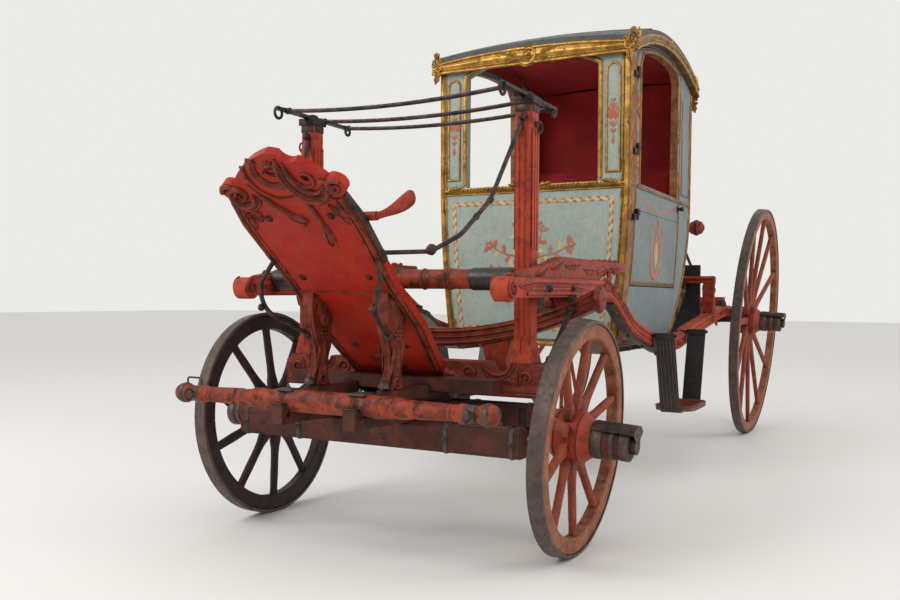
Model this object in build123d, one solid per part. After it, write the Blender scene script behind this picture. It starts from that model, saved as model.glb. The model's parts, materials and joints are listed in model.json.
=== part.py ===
"""A rococo coupe carriage on crane-neck perches, in millimetres.

While it is drawn, y is measured from the front axle towards the rear, x to
the carriage's side and z from the ground. At the end every piece is moved so
that the origin is the middle of the base of the whole carriage.
"""
import os
from math import atan2, cos, hypot, radians, sin, sqrt, tan

from build123d import *

# Running gear
wheelbase = 3760
camber = 4.0
front_wheel_r = 460
rear_wheel_r = 840
front_half_track = 735
rear_half_track = 750
front_spokes = 10
rear_spokes = 12
front_dish = 30
rear_dish = 55
tyre_width = 60
tyre_thick = 14
felloe_depth = 62
felloe_width = 52
spoke_root = (34, 56)
spoke_tip = (30, 34)
spoke_tenon = 12
nave_belly_r = 105
nave_belly_half = 42
nave_neck_r = 72
nave_neck_run = 45
nave_tip_r = 60
nave_tip_band = 26
nave_inner = 98
nave_outer = 235
arm_r = 26
collar_r = 44
collar_thick = 12
axle_bar = 44
hub_cap_r = 34
hub_cap_length = 22
guard_r = 74
guard_thick = 4
guard_half_angle = 52

# Clearances and the length of cutting tools, which is more than any piece
turning_gap = 0.3
end_play = 1.0
seat_gap = 0.3
soft_gap = 0.4
door_gap = 6
reach = 8000

# Fore-carriage that turns
bed_half_length = 600
bed_half_depth = 50
bed_height = 83
plate_thick = 10
plate_r = 200
kingpin_r = 20
futchell_x = 160
futchell_width = 50
futchell_height = 60
futchell_front_y = -700
futchell_rear_y = 200
futchell_rise = 26
futchell_jaw = 15
crossbar_y = -290
crossbar_depth = 80
crossbar_height = 108
crossbar_half_length = 650
crossbar_drop = 80
crossbar_chamfer = 12
splinter_y = -630
splinter_half_length = 709
splinter_end_r = 28
splinter_ball_r = 38
splinter_belly_r = 42
splinter_belly_half = 270
splinter_lift = 9
pole_pin_r = 10

# Fixed front frame
bolster_half_length = 620
bolster_half_depth = 55
bolster_height = 135
scallop_x = 432
scallop_half = 58
scallop_depth = 48
frame_arm_x = 170
frame_arm_width = 70
frame_arm_height = 45
frame_arm_front_y = -480
frame_arm_rear_y = 310
plank_lap = 30
front_plank_y = (-200, -100)
front_plank_half_length = 480
rear_plank_y = (200, 300)
rear_plank_half_length = 390
post_width = 75
post_chamfer = 9
post_flare = 12
post_flare_height = 80
post_top_z = 1770
cap_half = 44
cap_thick = 30
transom_y = 250
transom_depth = 90
transom_height = 80
transom_middle_z = 820
transom_end_z = 995
transom_half_length = 745
transom_cap_r = 58
transom_cap_thick = 18
pedestal_x = 300
pedestal_top_half = 74
pedestal_waist_half = 46
pedestal_foot_half = 60

# Perches, with the scroll at the head and the horn lying on top
perch_x = 600
perch_width = 66
perch_height = 76
perch_head = (-360, 1036)
nose_r = 46
nose_drop = 6
horn_width = 44
horn_front_y = -300
horn_rear_y = 1030
horn_top_z = 1170
horn_end_r = 18

# Driver's place
footboard_foot = (-100, 700)
footboard_top = (-1000, 1465)
footboard_thick = 35
footboard_seam = 510
crest_start = 1030
volute_r = 40
crest_hole_r = 14
head_bar_y = -200
head_bar_z = 1070
head_bar_r = 39
head_sleeve_r = 43
head_sleeve_length = 167
seat_rod_r = 9
seat_rod_sag = 25
seat_bar_thick = 12
seat_bar_width = 30
seat_bar_y = (-240, 290)
console_x = 170
console_width = 50
console_y = -430
console_height = 420
strut_r = 9
handle_at = 850
handle_r = 16

# Body of the coach
body_front_y = 1280
body_rear_y = 2640
body_bottom_z = 735
body_bottom_rear_y = 2350
belt_z = 1600
body_bottom_half = 490
body_swell = 47
belt_half = 560
body_top_half = 570
outline_top_z = 2700
wall = 40
arch_front_z = 2385
arch_middle_z = 2530
arch_rear_z = 2420
cornice_out = 35
cornice_height = 55
roof_thick = 25
roof_crown = 35
door_front_y = 1400
door_rear_y = 2360
door_bottom_z = 1072
door_swing_gap = 14
window_sill_z = 1625
window_stile = 85
window_head = 28
window_corner_r = 70
front_window_half = 390
front_window_side_z = 2255
front_window_top_z = 2350
bench_front_y = 2090
bench_top_z = 1130
cushion_thick = 100
cushion_overhang = 15
back_cushion_thick = 80
back_cushion_top_z = 1900

# Hinges, steps and braces
hinge_heights = (1450, 1800, 2210)
hinge_r = 9
hinge_stand = 0.5
knuckle_sides = 12
knuckle_length = 30
hinge_leaf_length = 55
step_y = 1880
step_x = 700
step_z = 400
step_thick = 24
step_half_length = 215
step_depth = 220
step_corner_r = 90
step_arm = 18
step_arm_spread = 375
step_strap_thick = 6
step_strap_width = 108
step_strap_corner = 30
brace_x = 420
brace_width = 80
brace_thick = 30
brace_rise_run = 120

# Rear frame, placed by its distances ahead of the rear axle
rear_post_ahead = 690
ball_bar_ahead = 560
perch_level_ahead = 360
rear_post_top_z = 1110
rear_post_depth = 76
rear_rail_height = 45
rear_rail_depth = 60
rear_rail_half_length = 640
rear_panel_half = 530
rear_panel_bottom_z = 740
rear_panel_top_z = 1240
rear_panel_thick = 24
ball_bar_z = 1510
ball_bar_r = 30
ball_r = 55
ball_bar_half = 480
stay_r = 12
stay_x = 330
rear_bed_half_depth = 60
rear_transom_half_depth = 45
rear_transom_height = 70


def block(x, y, z):
    """A block between the low and high value of x, of y and of z."""
    spans = (x, y, z)
    middle = [(low + high) / 2 for low, high in spans]
    return Pos(*middle) * Box(*[high - low for low, high in spans])


def across(face, low_x, high_x):
    """A prism along x of a face drawn in (y, z)."""
    return extrude(Plane.YZ.offset(low_x) * face, high_x - low_x)


def along(face, low_y, high_y):
    """A prism along y of a face drawn in (x, z)."""
    return extrude(Plane.XZ.offset(-high_y) * face, high_y - low_y)


def turned(rows, axis=Axis.X):
    """A turned piece from rows of (place along the axis, radius)."""
    points = [(rows[0][0], 0), *rows, (rows[-1][0], 0)]
    return revolve(make_face(Polyline(*points, close=True)), axis)


def both_ends(rows):
    """The rows of a turned piece and their mirror image."""
    return rows + [(-place, radius) for place, radius in reversed(rows)]


def rod(points, radius, corners):
    """A forged eight-sided rod along a bent path, with its corners rounded."""
    path = FilletPolyline(*points, radius=corners) if len(points) > 2 else Line(*points)
    start = Plane(path @ 0, z_dir=path % 0)
    return sweep(start * RegularPolygon(radius, 8), path)


def ribbon(points, corner, width_x, thick):
    """A flat strip in (y, z) along a path with rounded corners, as wide as width_x."""
    path = Plane.YZ * FilletPolyline(*points, radius=corner)
    start = Plane(path @ 0, x_dir=(1, 0, 0), z_dir=path % 0)
    return sweep(start * Rectangle(width_x, thick), path)


def mirrored(shape):
    """The same piece on the carriage's other side."""
    return mirror(shape, Plane.YZ)


def both_sides(shape):
    """A piece and its mirror image, as solids of one node."""
    return Compound([*shape.solids(), *mirrored(shape).solids()])


def largest(shape):
    """The largest solid of a shape that a cut has left in several."""
    return max(shape.solids(), key=lambda solid: solid.volume)


pieces = {}

# Wheels, drawn about the x axis with the nave's middle at the origin
lean = tan(radians(camber))


def tread_radius(wheel_r, dish, along_axle):
    """The coned tread's radius, so that the tyre stands flat on the ground."""
    return wheel_r - (along_axle - dish) * lean


def wheel_solids(wheel_r, dish, spokes):
    """The wooden wheel and its iron tyre."""
    edges = (dish - tyre_width / 2, dish + tyre_width / 2)
    outer = [tread_radius(wheel_r, dish, edge) for edge in edges]
    tyre = revolve(make_face(Polyline(
        (edges[0], outer[0]), (edges[1], outer[1]),
        (edges[1], outer[1] - tyre_thick), (edges[0], outer[0] - tyre_thick),
        close=True)), Axis.X)

    rim_edges = (dish - felloe_width / 2, dish + felloe_width / 2)
    rim_outer = [tread_radius(wheel_r, dish, edge) - tyre_thick - turning_gap
                 for edge in rim_edges]
    rim_inner = wheel_r - tyre_thick - felloe_depth
    rim = revolve(make_face(Polyline(
        (rim_edges[0], rim_outer[0]), (rim_edges[1], rim_outer[1]),
        (rim_edges[1], rim_inner), (rim_edges[0], rim_inner), close=True)), Axis.X)

    nave = turned([
        (-nave_inner, nave_neck_r), (-nave_belly_half, nave_belly_r),
        (nave_belly_half, nave_belly_r), (nave_belly_half + nave_neck_run, nave_neck_r),
        (nave_outer - nave_tip_band, nave_tip_r), (nave_outer, nave_tip_r)])
    wood = nave + rim
    root = Pos(0, 0, nave_belly_r - spoke_tenon) * Rectangle(*spoke_root)
    tip = Pos(dish, 0, rim_inner + spoke_tenon) * Rectangle(*spoke_tip)
    spoke = loft([root, tip])
    for turn in range(spokes):
        wood += Rot(X=360 * turn / spokes) * spoke
    wood -= Rot(Y=90) * Cylinder(arm_r + turning_gap, 3 * nave_outer)
    return wood, tyre


def hub_height(wheel_r, dish):
    """How high the nave's middle stands."""
    return wheel_r * cos(radians(camber)) + dish * sin(radians(camber))


def hub_place(half_track, axle_y, wheel_r, dish):
    """Moves a right-hand piece drawn about the axle arm to its place."""
    return Pos(half_track, axle_y, hub_height(wheel_r, dish)) * Rot(Y=camber)


axles = {
    "front": dict(wheel_r=front_wheel_r, dish=front_dish, spokes=front_spokes,
                  half_track=front_half_track, y=0),
    "rear": dict(wheel_r=rear_wheel_r, dish=rear_dish, spokes=rear_spokes,
                 half_track=rear_half_track, y=wheelbase),
}
axle_bar_z = {}
for name, axle in axles.items():
    place = hub_place(axle["half_track"], axle["y"], axle["wheel_r"], axle["dish"])
    wood, irons = wheel_solids(axle["wheel_r"], axle["dish"], axle["spokes"])
    pieces[f"wheel_{name}_right"] = place * wood
    pieces[f"wheel_{name}_left"] = mirrored(place * wood)
    pieces[f"wheel_irons_{name}_right"] = place * irons
    pieces[f"wheel_irons_{name}_left"] = mirrored(place * irons)

    # Iron axletree: a square bar with a collar and a leaning arm at each end
    arm_start = -nave_inner - end_play
    collar = Pos(arm_start - collar_thick / 2, 0, 0) * Rot(Y=90) * Cylinder(collar_r, collar_thick)
    arm_length = nave_outer + end_play - arm_start
    arm = Pos(arm_start + arm_length / 2, 0, 0) * Rot(Y=90) * Cylinder(arm_r, arm_length)
    bar_end = axle["half_track"] - nave_inner - collar_thick + 2
    bar_z = hub_height(axle["wheel_r"], axle["dish"]) + nave_inner * sin(radians(camber))
    axle_bar_z[name] = bar_z
    half_bar = axle_bar / 2
    bar = block((-bar_end, bar_end), (axle["y"] - half_bar, axle["y"] + half_bar),
                (bar_z - half_bar, bar_z + half_bar))
    ends = place * (collar + arm)
    pieces[f"{name}_axletree"] = bar + ends + mirrored(ends)

    # Cap on the arm's end, with the curved guard over the nave's tip
    cap_start = nave_outer + end_play
    cap = Pos(cap_start + hub_cap_length / 2, 0, 0) * Rot(Y=90) * Cylinder(hub_cap_r, hub_cap_length)
    ring = Circle(guard_r + guard_thick) - Circle(guard_r)
    spread = 2 * guard_r * tan(radians(guard_half_angle))
    wedge = make_face(Polyline((0, 0), (-spread, 2 * guard_r), (spread, 2 * guard_r), close=True))
    guard_end = cap_start + hub_cap_length
    guard_start = nave_belly_half + nave_neck_run + guard_thick
    shell = extrude(Plane.YZ.offset(guard_start) * (ring & wedge), guard_end - guard_start)
    cheek = Circle(guard_r + guard_thick) & wedge
    closing = extrude(Plane.YZ.offset(guard_end - guard_thick) * cheek, guard_thick)
    pieces[f"hub_guards_{name}"] = both_sides(place * (cap + shell + closing))

# Fore-carriage: bed, turntable, futchells, crossbar and splinter bar
bed_low = axle_bar_z["front"] + axle_bar / 2
bed_high = bed_low + bed_height
plate_high = bed_high + plate_thick
frame_low = plate_high + turning_gap + 2 * plate_thick
splinter_z = bed_high + futchell_rise + splinter_lift
pin_hole = Pos(0, 0, bed_high) * Cylinder(kingpin_r + turning_gap, 4 * bed_height)

crossbar_low = bed_low - crossbar_drop
crossbar = block((-crossbar_half_length, crossbar_half_length),
                 (crossbar_y - crossbar_depth / 2, crossbar_y + crossbar_depth / 2),
                 (crossbar_low, crossbar_low + crossbar_height))
crossbar = chamfer(crossbar.edges().filter_by(Axis.X), crossbar_chamfer)

splinter_neck = -splinter_half_length + 2 * splinter_ball_r
splinter = Pos(0, splinter_y, splinter_z) * turned(both_ends([
    (-splinter_half_length, splinter_end_r - 8), (-splinter_half_length + 20, splinter_ball_r),
    (splinter_neck - 20, splinter_ball_r), (splinter_neck, splinter_end_r),
    (-splinter_belly_half - 130, splinter_end_r + 4), (-splinter_belly_half, splinter_belly_r)]))

jaw_low = bed_high + futchell_rise - futchell_height - futchell_jaw
futchell_outline = make_face(Polyline(
    (futchell_rear_y, bed_high - futchell_height), (futchell_rear_y, bed_high),
    (crossbar_y, bed_high), (splinter_y + 60, bed_high + futchell_rise),
    (futchell_front_y, bed_high + futchell_rise), (futchell_front_y, jaw_low),
    (splinter_y + 60, jaw_low), (crossbar_y, bed_high - futchell_height), close=True))
futchell_pin_y = futchell_front_y + 40
futchell_pin_z = bed_high - futchell_jaw
futchell = across(futchell_outline, futchell_x - futchell_width / 2, futchell_x + futchell_width / 2)
futchell -= crossbar + splinter
futchell -= Pos(futchell_x, futchell_pin_y, futchell_pin_z) * Rot(Y=90) * Cylinder(pole_pin_r, 4 * futchell_width)
bed = block((-bed_half_length, bed_half_length), (-bed_half_depth, bed_half_depth), (bed_low, bed_high))
pieces["front_axle_bed"] = bed - futchell - mirrored(futchell) - pin_hole
pieces["futchells"] = both_sides(futchell)
pieces["crossbar"] = crossbar
pieces["splinter_bar"] = splinter
lower_plate = Pos(0, 0, bed_high + plate_thick / 2) * Cylinder(plate_r, plate_thick)
pieces["turntable_lower_plate"] = lower_plate - pin_hole

# Fixed front frame: upper plate and kingpin, arms, planks and scalloped bolster
upper_low = plate_high + turning_gap
upper_plate = Pos(0, 0, (upper_low + frame_low) / 2) * Cylinder(plate_r, frame_low - upper_low)
pin_low = bed_low + turning_gap
kingpin = Pos(0, 0, (pin_low + upper_low) / 2) * Cylinder(kingpin_r, upper_low - pin_low)
pieces["turntable_upper_plate"] = upper_plate + kingpin

arm_high = frame_low + frame_arm_height
frame_arm = block((frame_arm_x - frame_arm_width / 2, frame_arm_x + frame_arm_width / 2),
                  (frame_arm_front_y, frame_arm_rear_y), (frame_low, arm_high))
bolster_high = frame_low + bolster_height
scallop_r = (scallop_half ** 2 + scallop_depth ** 2) / (2 * scallop_depth)
bolster_outline = make_face(Polyline(
    (-bolster_half_length, frame_low), (bolster_half_length, frame_low),
    (bolster_half_length, bolster_high), (-bolster_half_length, bolster_high), close=True))
for side in (-1, 1):
    bolster_outline -= Pos(side * scallop_x, bolster_high + scallop_r - scallop_depth) * Circle(scallop_r)
    bolster_outline -= Pos(side * bolster_half_length, bolster_high) * Circle(scallop_depth / 2)
bolster = along(bolster_outline, -bolster_half_depth, bolster_half_depth)
frame_arms = frame_arm + mirrored(frame_arm)
pieces["front_bolster"] = bolster - frame_arms
pieces["frame_arms"] = both_sides(frame_arm)
plank_high = arm_high + plank_lap
planks = []
for span_y, half in ((front_plank_y, front_plank_half_length), (rear_plank_y, rear_plank_half_length)):
    plank = block((-half, half), span_y, (arm_high - frame_arm_height / 2, plank_high))
    planks.append((plank - frame_arms).solids()[0])
pieces["frame_planks"] = Compound(planks)

# Perches: crane-neck timbers from the head over the front wheels to the rear axle
rear_bed_low = axle_bar_z["rear"] + axle_bar / 2
perch_end_z = rear_bed_low + perch_height / 2
perch_rows = [
    # y, z, radius of the bend
    (*perch_head, 0),
    (790, 1046, 400),
    (1170, 850, 900),
    (1720, 733, 900),
    (2130, 738, 900),
    (2400, 790, 900),
    (wheelbase - perch_level_ahead, perch_end_z, 900),
    (wheelbase + rear_bed_half_depth, perch_end_z, 0),
]
perch_path = [(y, z) for y, z, bend in perch_rows]
perch_bends = [bend for y, z, bend in perch_rows[1:-1]]
perch = Pos(perch_x, 0, 0) * ribbon(perch_path, perch_bends, perch_width, perch_height)
perch_span = (perch_x - perch_width / 2, perch_x + perch_width / 2)
nose = across(Pos(perch_head[0], perch_head[1] - nose_drop) * Circle(nose_r), *perch_span)
perch += nose
pieces["perch_right"] = perch
pieces["perch_left"] = mirrored(perch)

# The horn: it starts as the tongue at the head bar's end and ends free over the bend
horn_outline = make_face([
    Polyline((horn_rear_y, horn_top_z - 2 * horn_end_r), (720, horn_top_z - 60), (500, perch_head[1]),
             (horn_front_y, perch_head[1]), (horn_front_y, head_bar_z + 15), (-150, head_bar_z + 40),
             (0, horn_top_z - 40), (180, horn_top_z), (horn_rear_y, horn_top_z)),
    ThreePointArc((horn_rear_y, horn_top_z), (horn_rear_y + horn_end_r, horn_top_z - horn_end_r),
                  (horn_rear_y, horn_top_z - 2 * horn_end_r))])
horn = across(horn_outline, perch_x - horn_width / 2, perch_x + horn_width / 2) - perch
pieces["perch_horns"] = both_sides(max(horn.solids(), key=lambda solid: solid.center().Z))

# Curved front transom under the perches, with its blocks, pedestals and end caps
transom_rise = transom_end_z - transom_middle_z
transom_r = (transom_half_length ** 2 + transom_rise ** 2) / (2 * transom_rise)


def transom_line(x):
    """The height of the transom's middle line at x."""
    return transom_middle_z + transom_r - sqrt(transom_r ** 2 - x ** 2)


def arch_band(low_add, high_add):
    """The transom's curve in (x, z), between two heights beside its middle line."""
    half = transom_half_length
    lower = ThreePointArc((-half, transom_end_z + low_add), (0, transom_middle_z + low_add),
                          (half, transom_end_z + low_add))
    upper = ThreePointArc((-half, transom_end_z + high_add), (0, transom_middle_z + high_add),
                          (half, transom_end_z + high_add))
    return make_face([lower, Line(lower @ 1, upper @ 1), upper, Line(upper @ 0, lower @ 0)])


transom_span = (transom_y - transom_depth / 2, transom_y + transom_depth / 2)
transom = along(arch_band(-transom_height / 2, transom_height / 2), *transom_span)
seat_block = block(perch_span, transom_span, (transom_line(perch_x), perch_head[1])) - perch - transom
seat_block = largest(seat_block)
end_cap = Pos(transom_half_length + transom_cap_thick / 2, transom_y, transom_end_z) * Rot(Y=90)
end_cap *= extrude(RegularPolygon(transom_cap_r, 8), transom_cap_thick / 2, both=True)
pieces["front_transom"] = transom + seat_block + mirrored(seat_block) + end_cap + mirrored(end_cap)
pedestal_waist_z = plank_high + 45
pedestal_outline = make_face(Polyline(
    (pedestal_x - pedestal_foot_half, plank_high), (pedestal_x + pedestal_foot_half, plank_high),
    (pedestal_x + pedestal_waist_half, pedestal_waist_z), (pedestal_x + pedestal_top_half, transom_middle_z),
    (pedestal_x - pedestal_top_half, transom_middle_z), (pedestal_x - pedestal_waist_half, pedestal_waist_z),
    close=True))
pedestal = along(pedestal_outline, rear_plank_y[0] + 10, rear_plank_y[1] - 10) - transom
pieces["transom_pedestals"] = both_sides(min(pedestal.solids(), key=lambda solid: solid.center().Z))

# Posts, seat irons and head bar
post_x = perch_x - perch_width / 2 - post_width / 2
post = block((post_x - post_width / 2, post_x + post_width / 2),
             (-post_width / 2, post_width / 2), (bolster_high, post_top_z))
post = chamfer(post.edges().filter_by(Axis.Z), post_chamfer)
flare_foot = post_width + 2 * post_flare
flare = Pos(post_x, 0, bolster_high) * loft([
    Rectangle(flare_foot, flare_foot), Pos(0, 0, post_flare_height) * Rectangle(post_width, post_width)])
post += flare
pieces["posts"] = both_sides(post)
cap_top = post_top_z + cap_thick
cap = block((post_x - cap_half, post_x + cap_half), (-cap_half, cap_half), (post_top_z, cap_top))
end_bar = block((post_x - seat_bar_width / 2, post_x + seat_bar_width / 2), seat_bar_y,
                (cap_top, cap_top + seat_bar_thick))
seat_irons = cap + end_bar + mirrored(cap + end_bar)
rod_z = cap_top + seat_bar_thick - seat_rod_r
for rod_y in (-200, 60, 250):
    path = ThreePointArc((-post_x, rod_y, rod_z), (0, rod_y, rod_z - seat_rod_sag), (post_x, rod_y, rod_z))
    section = Plane(path @ 0, z_dir=path % 0) * RegularPolygon(seat_rod_r, 8)
    seat_irons += sweep(section, path)
pieces["seat_irons"] = seat_irons
head_half = perch_x - perch_width / 2
sleeve_start = head_half - head_sleeve_length
head_bar = Pos(0, head_bar_y, head_bar_z) * turned(both_ends([
    (-head_half, head_sleeve_r), (-sleeve_start, head_sleeve_r), (-sleeve_start, head_bar_r)]))
pieces["head_bar"] = head_bar

# Footboard, drawn flat and then leaned forward
board_run = footboard_foot[0] - footboard_top[0]
board_rise = footboard_top[1] - footboard_foot[1]
board_length = hypot(board_run, board_rise)


def on_board(x, up_board, behind):
    """A place given by x, the way up the board and the way behind its middle plane."""
    return (x, footboard_foot[0] + (behind * board_rise - up_board * board_run) / board_length,
            footboard_foot[1] + (behind * board_run + up_board * board_rise) / board_length)


board_plane = Plane(on_board(0, 0, 0), x_dir=(1, 0, 0), z_dir=(0, -board_rise, -board_run))
board_rows = [
    # up the board, half width
    (-60, 210),
    (300, 252),
    (footboard_seam, 236),
    (640, 243),
    (870, 256),
    (crest_start, 232),
]
board_edge = [(half, up) for up, half in board_rows]
board_face = make_face(Polyline(*board_edge, *[(-half, up) for half, up in reversed(board_edge)], close=True))
crest_high = (40, board_length + 14)
crest_arcs = [
    ThreePointArc((-205, crest_start), (-110, crest_start + 100), crest_high),
    ThreePointArc(crest_high, (128, crest_start + 128), (230, crest_start))]
board_face += make_face([*crest_arcs, Line((230, crest_start), (-205, crest_start))])
for volute in ((-205, crest_start + 8), (232, crest_start + 2)):
    board_face += Pos(*volute) * Circle(volute_r)
board_face -= Pos(118, board_length + 6) * Circle(volute_r)
for hole in ((-167, crest_start - 10), (24, crest_start + 108), (140, crest_start + 48)):
    board_face -= Pos(*hole) * RegularPolygon(crest_hole_r, 8)
board = extrude(board_plane * board_face, footboard_thick / 2, both=True)
board = board & block((-reach, reach), (-reach, front_plank_y[1]), (plank_high, reach))
pieces["footboard"] = board

# Handle bar behind the board's top
handle_centre = on_board(0, handle_at, footboard_thick / 2 + handle_r - 2)
handle = Pos(*handle_centre) * turned([
    (-270, 20), (-262, 27), (-240, 27), (-230, handle_r), (290, handle_r)])
paddle = Pos(360, handle_centre[1], handle_centre[2] + 30) * Rot(Y=-22) * Box(170, 18, 58)
pieces["handle_bar"] = handle + paddle - board

# Scrolled consoles between the frame arms and the board
console_outline = make_face([
    Line((console_y - 45, arm_high), (console_y + 45, arm_high)),
    ThreePointArc((console_y + 45, arm_high), (console_y + 28, arm_high + 75), (console_y + 50, arm_high + 150)),
    Line((console_y + 50, arm_high + 150), (console_y + 60, arm_high + console_height)),
    Line((console_y + 60, arm_high + console_height), (console_y - 60, arm_high + console_height)),
    ThreePointArc((console_y - 60, arm_high + console_height), (console_y - 72, arm_high + 270),
                  (console_y - 30, arm_high + 150)),
    ThreePointArc((console_y - 30, arm_high + 150), (console_y - 18, arm_high + 90), (console_y - 45, arm_high))])
console = across(console_outline, console_x - console_width / 2, console_x + console_width / 2) - board
console = min(console.solids(), key=lambda solid: solid.center().Z)
pieces["consoles"] = both_sides(console)

# Iron struts from the post caps to the board's edge, and bars from there to the consoles
board_eye = on_board(225, 700, 0)
strut = rod([(post_x, -post_width / 2 + 4, post_top_z - 50), (460, -190, 1375), (420, -360, 1230),
             (350, -460, 1165), board_eye], strut_r, [200, 120, 60])
strut = largest(strut - board - post)
bow = rod([on_board(225, 690, 0), (265, -665, 1050), (245, -690, 950), (console_x + 12, console_y - 40, 845)],
          strut_r, [30, 90])
bow = largest(bow - board - console)
pieces["footboard_struts"] = Compound([*both_sides(strut).solids(), *both_sides(bow).solids()])

# Iron stays between the transom and the bolster
stay = rod([(post_x + 45, 40, bolster_high - 40), (post_x + 60, 120, bolster_high + 10),
            (650, transom_span[0] - stay_r, transom_line(650))], stay_r, [60])
pieces["front_stays"] = both_sides(largest(stay - bolster - transom))

# Rear axle bed, carved uprights, rail, leather panel and the bar with ball ends
rear_post_y = wheelbase - rear_post_ahead
ball_bar_y = wheelbase - ball_bar_ahead
rear_bed_half = perch_x - perch_width / 2
rear_bed_high = rear_bed_low + perch_height
pieces["rear_axle_bed"] = block((-rear_bed_half, rear_bed_half),
                                (wheelbase - rear_bed_half_depth, wheelbase + rear_bed_half_depth),
                                (rear_bed_low, rear_bed_high))
rear_transom_high = rear_bed_high + rear_transom_height
rear_transom = block((-rear_bed_half, rear_bed_half),
                     (wheelbase - rear_transom_half_depth, wheelbase + rear_transom_half_depth),
                     (rear_bed_high, rear_transom_high))
pieces["rear_transom"] = rear_transom
half_post = rear_post_depth / 2
upright_rows = [
    # y beside the post's middle, z
    (-half_post, rear_post_top_z), (half_post, rear_post_top_z), (half_post - 8, 1040), (half_post, 950),
    (120, 910), (120, 800), (-half_post, 780), (-half_post - 10, 900), (-half_post + 8, 960)]
upright_outline = make_face(Polyline(*[(rear_post_y + y, z) for y, z in upright_rows], close=True))
upright = across(upright_outline, *perch_span) - perch
pieces["rear_uprights"] = both_sides(max(upright.solids(), key=lambda solid: solid.center().Z))
rail_high = rear_post_top_z + rear_rail_height
rail_span = (rear_post_y - rear_rail_depth / 2, rear_post_y + rear_rail_depth / 2)
rail = block((-rear_rail_half_length, rear_rail_half_length), rail_span, (rear_post_top_z, rail_high))
pieces["rear_rail"] = rail
pieces["rear_panel"] = block((-rear_panel_half, rear_panel_half),
                             (rail_span[1], rail_span[1] + rear_panel_thick),
                             (rear_panel_bottom_z, rear_panel_top_z))
ball_bar = Pos(0, ball_bar_y, ball_bar_z) * turned(both_ends([
    (-ball_bar_half - ball_r, 14), (-ball_bar_half - 38, 42), (-ball_bar_half, ball_r),
    (-ball_bar_half + 38, 42), (-ball_bar_half + ball_r, ball_bar_r - 6), (-ball_bar_half + 120, ball_bar_r)]))
pieces["rear_ball_bar"] = ball_bar
fore_stay = rod([(stay_x, rail_span[0], rail_high - 20), (stay_x, ball_bar_y, ball_bar_z)], stay_r, None)
back_stay = rod([(stay_x, ball_bar_y, ball_bar_z), (stay_x, wheelbase - 40, 1240),
                 (stay_x, wheelbase, rear_transom_high - 20)], stay_r, [80])
stays = (fore_stay + back_stay) - ball_bar - rail - rear_transom
stays = Compound([solid for solid in stays.solids() if solid.volume > 50000])
pieces["rear_stays"] = both_sides(stays)

# Leather braces under the body, with the irons that hold their ends
brace_z = body_bottom_z - brace_thick / 2 - seat_gap
brace_end = (rail_span[0] - 60, 1060)
brace_turn_y = body_bottom_rear_y + brace_rise_run
brace_turn = atan2(brace_end[1] - brace_z, brace_end[0] - brace_turn_y)
brace_rows = [
    # y, z, radius of the bend
    (430, 985, 0),
    (820, 915, 500),
    (body_front_y - 100, brace_z, 260),
    (brace_turn_y, brace_z, brace_rise_run / tan(brace_turn / 2)),
    (*brace_end, 0),
]
brace_bends = [bend for y, z, bend in brace_rows[1:-1]]
brace = Pos(brace_x, 0, 0) * ribbon([(y, z) for y, z, bend in brace_rows], brace_bends, brace_width, brace_thick)
pieces["braces"] = both_sides(brace)
brace_iron_span = (brace_x - 30, brace_x + 30)
front_iron = block(brace_iron_span, (transom_span[1], 440), (transom_line(brace_x) - 20, 1010))
rear_iron = block(brace_iron_span, (rail_span[0] - 55, rail_span[0]), (1040, rear_post_top_z + 30))
irons = [largest(front_iron - brace), largest(rear_iron - brace)]

# Steps: a leather sling hung from two iron arms on the perch, with a wooden tread in it
arm_z = step_z + 400
arm_half = step_arm / 2
strap_span = (step_x - step_strap_width / 2, step_x + step_strap_width / 2)
strap_z = step_z - step_thick - step_strap_thick / 2
sling_half = step_half_length + step_strap_corner
sling = Pos(step_x, step_y, 0) * ribbon(
    [(-step_arm_spread, arm_z - arm_half), (-sling_half, strap_z), (sling_half, strap_z),
     (step_arm_spread, arm_z - arm_half)], [step_strap_corner] * 2, step_strap_width, step_strap_thick)
loop_half = arm_half + turning_gap + step_strap_thick
for arm_y in (step_y - step_arm_spread, step_y + step_arm_spread):
    arm_hole = block((perch_x, strap_span[1] + 12), (arm_y - arm_half - turning_gap, arm_y + arm_half + turning_gap),
                     (arm_z - arm_half - turning_gap, arm_z + arm_half + turning_gap))
    loop = block(strap_span, (arm_y - loop_half, arm_y + loop_half), (arm_z - loop_half, arm_z + loop_half))
    sling = sling + loop - arm_hole
    iron_arm = block((perch_x, strap_span[1] + 12), (arm_y - arm_half, arm_y + arm_half),
                     (arm_z - arm_half, arm_z + arm_half))
    foot = block((perch_span[1], perch_span[1] + 8), (arm_y - 3 * arm_half, arm_y + 3 * arm_half),
                 (arm_z - 7 * arm_half, arm_z + arm_half))
    irons.append(largest((iron_arm + foot) - perch))
pieces["step_straps"] = both_sides(largest(sling))
pieces["brace_irons"] = Compound([solid for iron in irons for solid in both_sides(iron).solids()])
tread = Pos(step_x, step_y, step_z - step_thick / 2) * extrude(
    RectangleRounded(step_depth, 2 * step_half_length, step_corner_r), step_thick / 2, both=True)
pieces["step_treads"] = both_sides(tread)


# Body of the coach: outlines seen from the front and from the side
def front_view(inset):
    """The body's outline in (x, z), moved in by inset."""
    right = [ThreePointArc((body_bottom_half - inset, body_bottom_z + inset),
                           (body_bottom_half + body_swell - inset, 1150),
                           (belt_half - inset, belt_z)),
             Line((belt_half - inset, belt_z), (body_top_half - inset, outline_top_z))]
    left = [mirror(edge, Plane.YZ) for edge in right]
    closing = [Line((-body_bottom_half + inset, body_bottom_z + inset),
                    (body_bottom_half - inset, body_bottom_z + inset)),
               Line((-body_top_half + inset, outline_top_z), (body_top_half - inset, outline_top_z))]
    return make_face(right + left + closing)


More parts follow.
